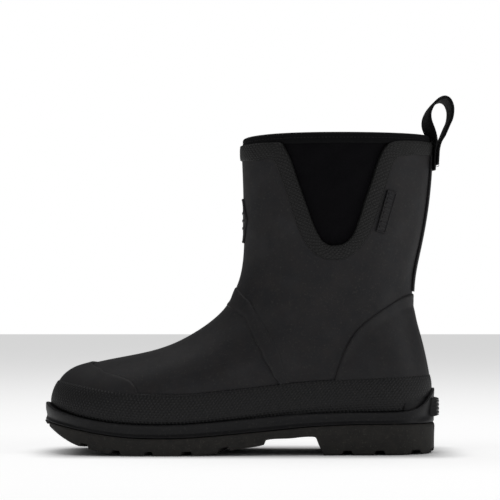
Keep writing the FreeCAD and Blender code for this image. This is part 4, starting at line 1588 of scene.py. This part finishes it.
@dataclass
class Footbed:
    """Foam footbed with a felt cover."""

    edge: float = -9.4
    foam: tuple[float, float] = (5.6, 10.4)
    cover: tuple[float, float] = (10.45, 11.8)

    def build(self) -> None:
        """Build and dress both pieces."""
        bed = self._slab("foam_footbed", *self.foam, 1.6)
        WARDROBE.dress(bed, FINISH.foam, "footbed_foam")
        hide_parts("footbed")
        top = self._slab("felt_cover", *self.cover, 0.6)
        WARDROBE.dress(top, FINISH.felt, "footbed_cloth")
        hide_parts("footbed_cover")

    def _slab(self, name: str, low: float, high: float, radius: float) -> bpy.types.Object:
        """Build a closed slab that follows the inside of the sole.

        Args:
            name: Name of the piece.
            low: Height of its underside over the feather line, in mm.
            high: Height of its top, in mm.
            radius: Radius of its upper edge, in mm.

        Returns:
            The new piece.
        """
        turns = np.linspace(0.0, 40.0, 201)
        rim = SKIN.at(SKIN.ring(FEATHER_LINE, turns, self.edge, lift=8.0), turns, self.edge)
        spine_x = np.clip(rim[:, 0], *SOCK_SPINE)
        spine = np.stack([spine_x, curve(FOOT_PLAN, spine_x)[:, 2]], -1)
        inward = spine - rim[:, :2]
        inward /= np.linalg.norm(inward, axis=-1, keepdims=True)
        edge = [(0.0, low + 0.2), (0.0, high - radius)]
        for angle in (0.4, 0.8, 1.2, 1.57):
            edge.append((radius * (1 - math.cos(angle)), high - radius * (1 - math.sin(angle))))
        rows = []
        for part in np.linspace(0.0, 0.97, 8):
            rows.append(self._row(spine + (rim[:, :2] - spine) * part, low))
        for offset, lift in edge:
            rows.append(self._row(rim[:, :2] + inward * offset, lift))
        for part in np.linspace(0.95, 0.0, 10):
            dish = 0.6 * (1.0 - part**2)
            rows.append(self._row(spine + (rim[:, :2] - spine) * part, high - dish))
        points = np.stack(rows, 1)
        centre = np.concatenate([spine, curve(FEATHER_LINE, spine_x)[:, None] + (low + high) / 2.0], -1)
        return sheet_mesh(name, points, uv=surface_uv(points), outside=points - centre[:, None, :])

    def _row(self, place: np.ndarray, lift: float) -> np.ndarray:
        """Return plan points raised over the feather line."""
        return np.concatenate([place, curve(FEATHER_LINE, place[:, 0])[:, None] + lift], -1)


@dataclass
class PullLoop:
    """Webbing loop at the back of the collar, sewn down with a box of stitches."""

    width: float = 20.0
    thickness: float = 2.1
    yaw: float = math.radians(9.0)
    pivot_x: float = 150.2
    bend: tuple[float, float] = (243.0, 249.0)
    lean: float = 0.15
    twist: float = math.radians(10.0)
    stitch_x: float = 151.1
    stitch_pitch: float = 2.4
    box_levels: tuple[float, float] = (228.0, 241.0)
    box_half_width: float = 8.0
    path: tuple[tuple[float, float], ...] = (
        (147.4, 224.7), (147.5, 229.0), (147.7, 235.0), (148.1, 241.0), (147.9, 246.4), (143.6, 256.0),
        (141.5, 262.2), (141.4, 267.3), (142.7, 271.4), (145.0, 275.2), (149.4, 279.8), (154.4, 281.6),
        (158.2, 279.8), (160.6, 274.6), (160.8, 269.3), (159.8, 264.2), (157.5, 259.1), (154.1, 251.4),
        (151.6, 246.6), (150.7, 241.0), (150.3, 235.0), (149.9, 229.2),
    )

    def build(self) -> None:
        """Build the strip and its threads."""
        table = np.asarray(self.path)
        length = arc_lengths(table)
        at = np.linspace(0.0, length[-1], 150)
        line = curve(np.concatenate([length[:, None], table], axis=1), at)
        step = np.gradient(line, axis=0)
        step /= np.linalg.norm(step, axis=-1, keepdims=True)
        side = np.stack([step[:, 1], -step[:, 0]], -1)
        section = self._section()
        points = np.empty((len(line), len(section), 3))
        for j, (y, h) in enumerate(section):
            edge_sink = 0.15 * np.cos(at * 2.0 * math.pi / 2.4) * (abs(y) > self.width / 2.0 - 1.2)
            x = line[:, 0] + side[:, 0] * h
            z = line[:, 1] + side[:, 1] * h
            across = np.full(len(x), y * (1.0 + edge_sink / 10.0))
            points[:, j] = self._turned(x, across, z, at / length[-1])
        middle = self._turned(line[:, 0], np.zeros(len(line)), line[:, 1], at / length[-1])[:, None, :]
        uv = surface_uv(points)
        strip = sheet_mesh("webbing_loop", points, uv=uv, outside=points - middle, body=LOOP)
        self._close_ends(strip)
        WARDROBE.dress(strip, FINISH.webbing, "webbing")
        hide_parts("pull_loop", "pull_tail")
        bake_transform(strip)
        self.stitches()

    def _section(self) -> list[tuple[float, float]]:
        """Draw the closed cross-section of the webbing.

        Returns:
            Places across the strip, and the height at each.
        """
        half, thick = self.width / 2.0, self.thickness / 2.0
        top = [(-half + 0.3, thick * 0.55), (-half + 0.9, thick * 0.95), (-half + 1.6, thick * 0.8)]
        top += [(y, thick) for y in np.linspace(-half + 2.4, half - 2.4, 9)]
        top += [(-y, h) for y, h in reversed(top[:3])]
        edge = [(half, 0.0)]
        below = [(y, -h) for y, h in reversed(top)]
        return top + edge + below + [(-half, 0.0), top[0]]

    def _turned(self, x: np.ndarray, y: np.ndarray, z: np.ndarray, share: np.ndarray) -> np.ndarray:
        """Turn and twist places of the strip, and let it hug the round back of the boot below the fold.

        Args:
            x: Positions along the boot.
            y: Places across the strip.
            z: Heights.
            share: How far along the strip each place lies, from 0 to 1.

        Returns:
            Points in mm.
        """
        hug = (1.0 - ease(238.0, 252.0, z)) * y**2 / 90.0
        free = ease(238.0, 256.0, z)
        twist = self.twist * free * np.exp(-(((share - 0.28) / 0.09) ** 2))
        yaw = self.yaw * (0.35 + 0.65 * free) + twist
        away = x - hug - self.pivot_x
        middle = away * np.cos(self.yaw * free)
        side = away * np.sin(self.yaw * free)
        lifted = z - self.lean * y * free
        return np.stack([self.pivot_x + middle - y * np.sin(yaw), side + y * np.cos(yaw), lifted], -1)

    def _close_ends(self, piece: bpy.types.Object) -> None:
        """Close both cut ends of the strip.

        Args:
            piece: The strip.
        """
        bm = bmesh.new()
        bm.from_mesh(piece.data)
        rims = [edge for edge in bm.edges if edge.is_boundary]
        bmesh.ops.holes_fill(bm, edges=rims, sides=0)
        bmesh.ops.recalc_face_normals(bm, faces=bm.faces)
        bm.to_mesh(piece.data)
        bm.free()

    def stitches(self) -> None:
        """Build the box of stitches on the tail."""
        places, aims = [], []
        low, high = self.box_levels
        half, middle = self.box_half_width, (low + high) / 2.0
        for z in (low, high):
            for y in np.arange(-7.2, 7.3, self.stitch_pitch):
                places.append((self.stitch_x, y, z))
                aims.append((0.0, 1.0, 0.0))
        for y in (-half, half):
            for z in np.arange(low + 1.6, high - 1.0, self.stitch_pitch):
                places.append((self.stitch_x, y, z))
                aims.append((0.0, 0.0, 1.0))
        for k in np.linspace(-0.8, 0.8, 7):
            for sign in (-1.0, 1.0):
                places.append((self.stitch_x, 7.2 * k * sign, middle + 6.0 * k))
                aims.append((0.0, 7.2 * sign, 6.0))
        spot = np.asarray(places)
        out = spot[:, 0] - 0.35 * ease(240.0, 226.0, spot[:, 2])
        place = self._turned(out, spot[:, 1], spot[:, 2], np.ones(len(spot)))
        aim = np.asarray(aims)
        normals = np.tile((1.0, 0.0, 0.0), (len(place), 1))
        threads = strand("tail_thread", np.stack([place, aim], 1), 0.3, 1.9, normals)
        WARDROBE.dress(threads, FINISH.thread, "thread")
        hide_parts("tail_stitches")


class HiddenParts:
    """Pieces inside the boot that keep their own meshes."""

    def dress(self) -> None:
        """Give each hidden piece its material."""
        worn = {
            "midsole_filler": (FINISH.filler, "filler_foam"),
            "shank": (FINISH.shank, "shank_plastic"),
            "insole_board": (FINISH.board, "fibre_board"),
            "toe_puff": (FINISH.stiffener, "stiffener"),
            "heel_stiffener": (FINISH.stiffener, "stiffener"),
            "bootie_foot": (FINISH.neoprene, "neoprene"),
            "bootie_sole": (FINISH.neoprene, "neoprene"),
        }
        for name, (finish, slot) in worn.items():
            WARDROBE.dress(frame["nodes"][name], finish, slot)


@dataclass(frozen=True)
class Softbox:
    """One soft light: where it hangs, what it faces, its width and height, and its power in watts."""

    name: str
    place: tuple[float, float, float]
    aim: tuple[float, float, float]
    size: tuple[float, float]
    power: float


@dataclass
class Studio:
    """Pale floor, white surround, soft lights and the camera, in metres."""

    distance: float = 1.7
    lens: float = 153.0
    camera_height: float = 0.12
    aim_height: float = 0.1608
    floor_half: float = 6.0
    floor_glow: float = 0.5
    surround: float = 1.0
    fill: float = 0.18
    # Rounded box under the boot (half sizes in metres) where the floor's glow is taken away, and the width of
    # its fade: a painted shadow, not one cast by the lights.
    painted_shadow_half: tuple[float, float, float] = (0.13, 0.037, 1.0)
    painted_shadow_fade: float = 0.05
    softboxes: tuple[Softbox, ...] = (
        Softbox("top_softbox", (0.0, 0.1, 1.7), (0.0, 0.0, 0.05), (1.8, 1.6), 12.0),
        Softbox("front_left_softbox", (-1.2, -1.3, 1.1), (-0.05, 0.0, 0.1), (0.9, 0.9), 2.0),
        Softbox("rear_side_softbox", (1.6, -0.6, 0.6), (0.12, 0.0, 0.15), (0.6, 1.0), 5.0),
    )

    def build(self) -> None:
        """Build the whole studio."""
        self.floor()
        self.world()
        for softbox in self.softboxes:
            self.hang(softbox)
        self.camera()

    def floor(self) -> None:
        """Lay the floor, a sheet of white paper that glows, with a painted shadow under the boot."""
        bm = bmesh.new()
        bmesh.ops.create_grid(bm, x_segments=8, y_segments=8, size=self.floor_half)
        bmesh.ops.translate(bm, verts=bm.verts, vec=(0.0, 0.0, -0.0004))
        mesh = bpy.data.meshes.new("studio_floor")
        bm.to_mesh(mesh)
        bm.free()
        floor = bpy.data.objects.new("studio_floor", mesh)
        bpy.context.scene.collection.objects.link(floor)
        material = bpy.data.materials.new("white_studio_paper_painted_shadow")
        material.use_nodes = True
        shader = material.node_tree.nodes["Principled BSDF"]
        shader.inputs["Base Color"].default_value = linear("f2f2f2")
        shader.inputs["Roughness"].default_value = 0.95
        shader.inputs["Specular IOR Level"].default_value = 0.0
        shader.inputs["Emission Color"].default_value = linear("ffffff")
        tree = material.node_tree
        # The glow fades under the boot, which paints the contact shadow into the floor.
        tree.links.new(self._glow_with_painted_shadow(tree), shader.inputs["Emission Strength"])
        mesh.materials.append(material)

    def _glow_with_painted_shadow(self, tree: bpy.types.NodeTree) -> bpy.types.NodeSocket:
        """Let the floor glow, except in a painted shadow under the boot, where the glow fades out in a
        rounded box.

        Args:
            tree: Node tree of the floor's material.

        Returns:
            Strength of the glow.
        """
        place = add(tree, "ShaderNodeTexCoord").outputs["Object"]
        steps = (("ABSOLUTE", None), ("SUBTRACT", self.painted_shadow_half), ("MAXIMUM", (0.0, 0.0, 0.0)))
        for operation, value in steps:
            inputs = {0: place} if value is None else {0: place, 1: value}
            place = add(tree, "ShaderNodeVectorMath", inputs, operation=operation).outputs["Vector"]
        reach = add(tree, "ShaderNodeVectorMath", {0: place}, operation="LENGTH").outputs["Value"]
        inputs = {"Value": reach, "From Max": self.painted_shadow_fade, "To Max": self.floor_glow}
        return add(tree, "ShaderNodeMapRange", inputs, interpolation_type="SMOOTHSTEP").outputs["Result"]

    def world(self) -> None:
        """Surround the boot with white that lights it only softly."""
        world = bpy.data.worlds.new("studio_surround")
        world.use_nodes = True
        tree = world.node_tree
        tree.nodes.clear()
        path = add(tree, "ShaderNodeLightPath")
        seen = add(tree, "ShaderNodeBackground", {"Color": linear("ffffff"), "Strength": self.surround})
        fill = add(tree, "ShaderNodeBackground", {"Color": linear("ffffff"), "Strength": self.fill})
        mix = add(
            tree,
            "ShaderNodeMixShader",
            {0: path.outputs["Is Camera Ray"], 1: fill.outputs["Background"], 2: seen.outputs["Background"]},
        )
        add(tree, "ShaderNodeOutputWorld", {"Surface": mix.outputs["Shader"]})
        bpy.context.scene.world = world
        bpy.context.scene.view_settings.view_transform = "Standard"

    def hang(self, softbox: Softbox) -> None:
        """Hang one softbox.

        Args:
            softbox: The light.
        """
        lamp = bpy.data.lights.new(softbox.name, "AREA")
        lamp.shape = "RECTANGLE"
        lamp.size, lamp.size_y = softbox.size
        lamp.energy = softbox.power
        item = bpy.data.objects.new(softbox.name, lamp)
        self.face(item, softbox.place, softbox.aim)

    def face(self, item: bpy.types.Object, place: tuple, aim: tuple) -> None:
        """Put an object somewhere and turn it to a point.

        Args:
            item: Light or camera.
            place: Where it goes.
            aim: Point that it faces.
        """
        item.location = place
        item.rotation_euler = (Vector(aim) - Vector(place)).to_track_quat("-Z", "Y").to_euler()
        bpy.context.scene.collection.objects.link(item)

    def camera(self) -> None:
        """Set up the camera square to the outer side of the boot."""
        data = bpy.data.cameras.new("camera")
        data.lens = self.lens
        data.sensor_width = 36.0
        item = bpy.data.objects.new("camera", data)
        self.face(item, (0.0, -self.distance, self.camera_height), (0.0, 0.0, self.aim_height))
        bpy.context.scene.camera = item


def main() -> None:
    """Build the boot piece by piece."""
    for step in (RubberUpper(), SoleUnit(), Bootie(), Footbed(), PullLoop(), Studio()):
        step.build()
        LOG.info("built %s", type(step).__name__)
    HiddenParts().dress()
    for item in bpy.data.objects:
        if item.type == "MESH" and not item.hide_render:
            LOG.info("%s: %d faces", item.name, len(item.data.polygons))


if __name__ == "__main__":
    main()
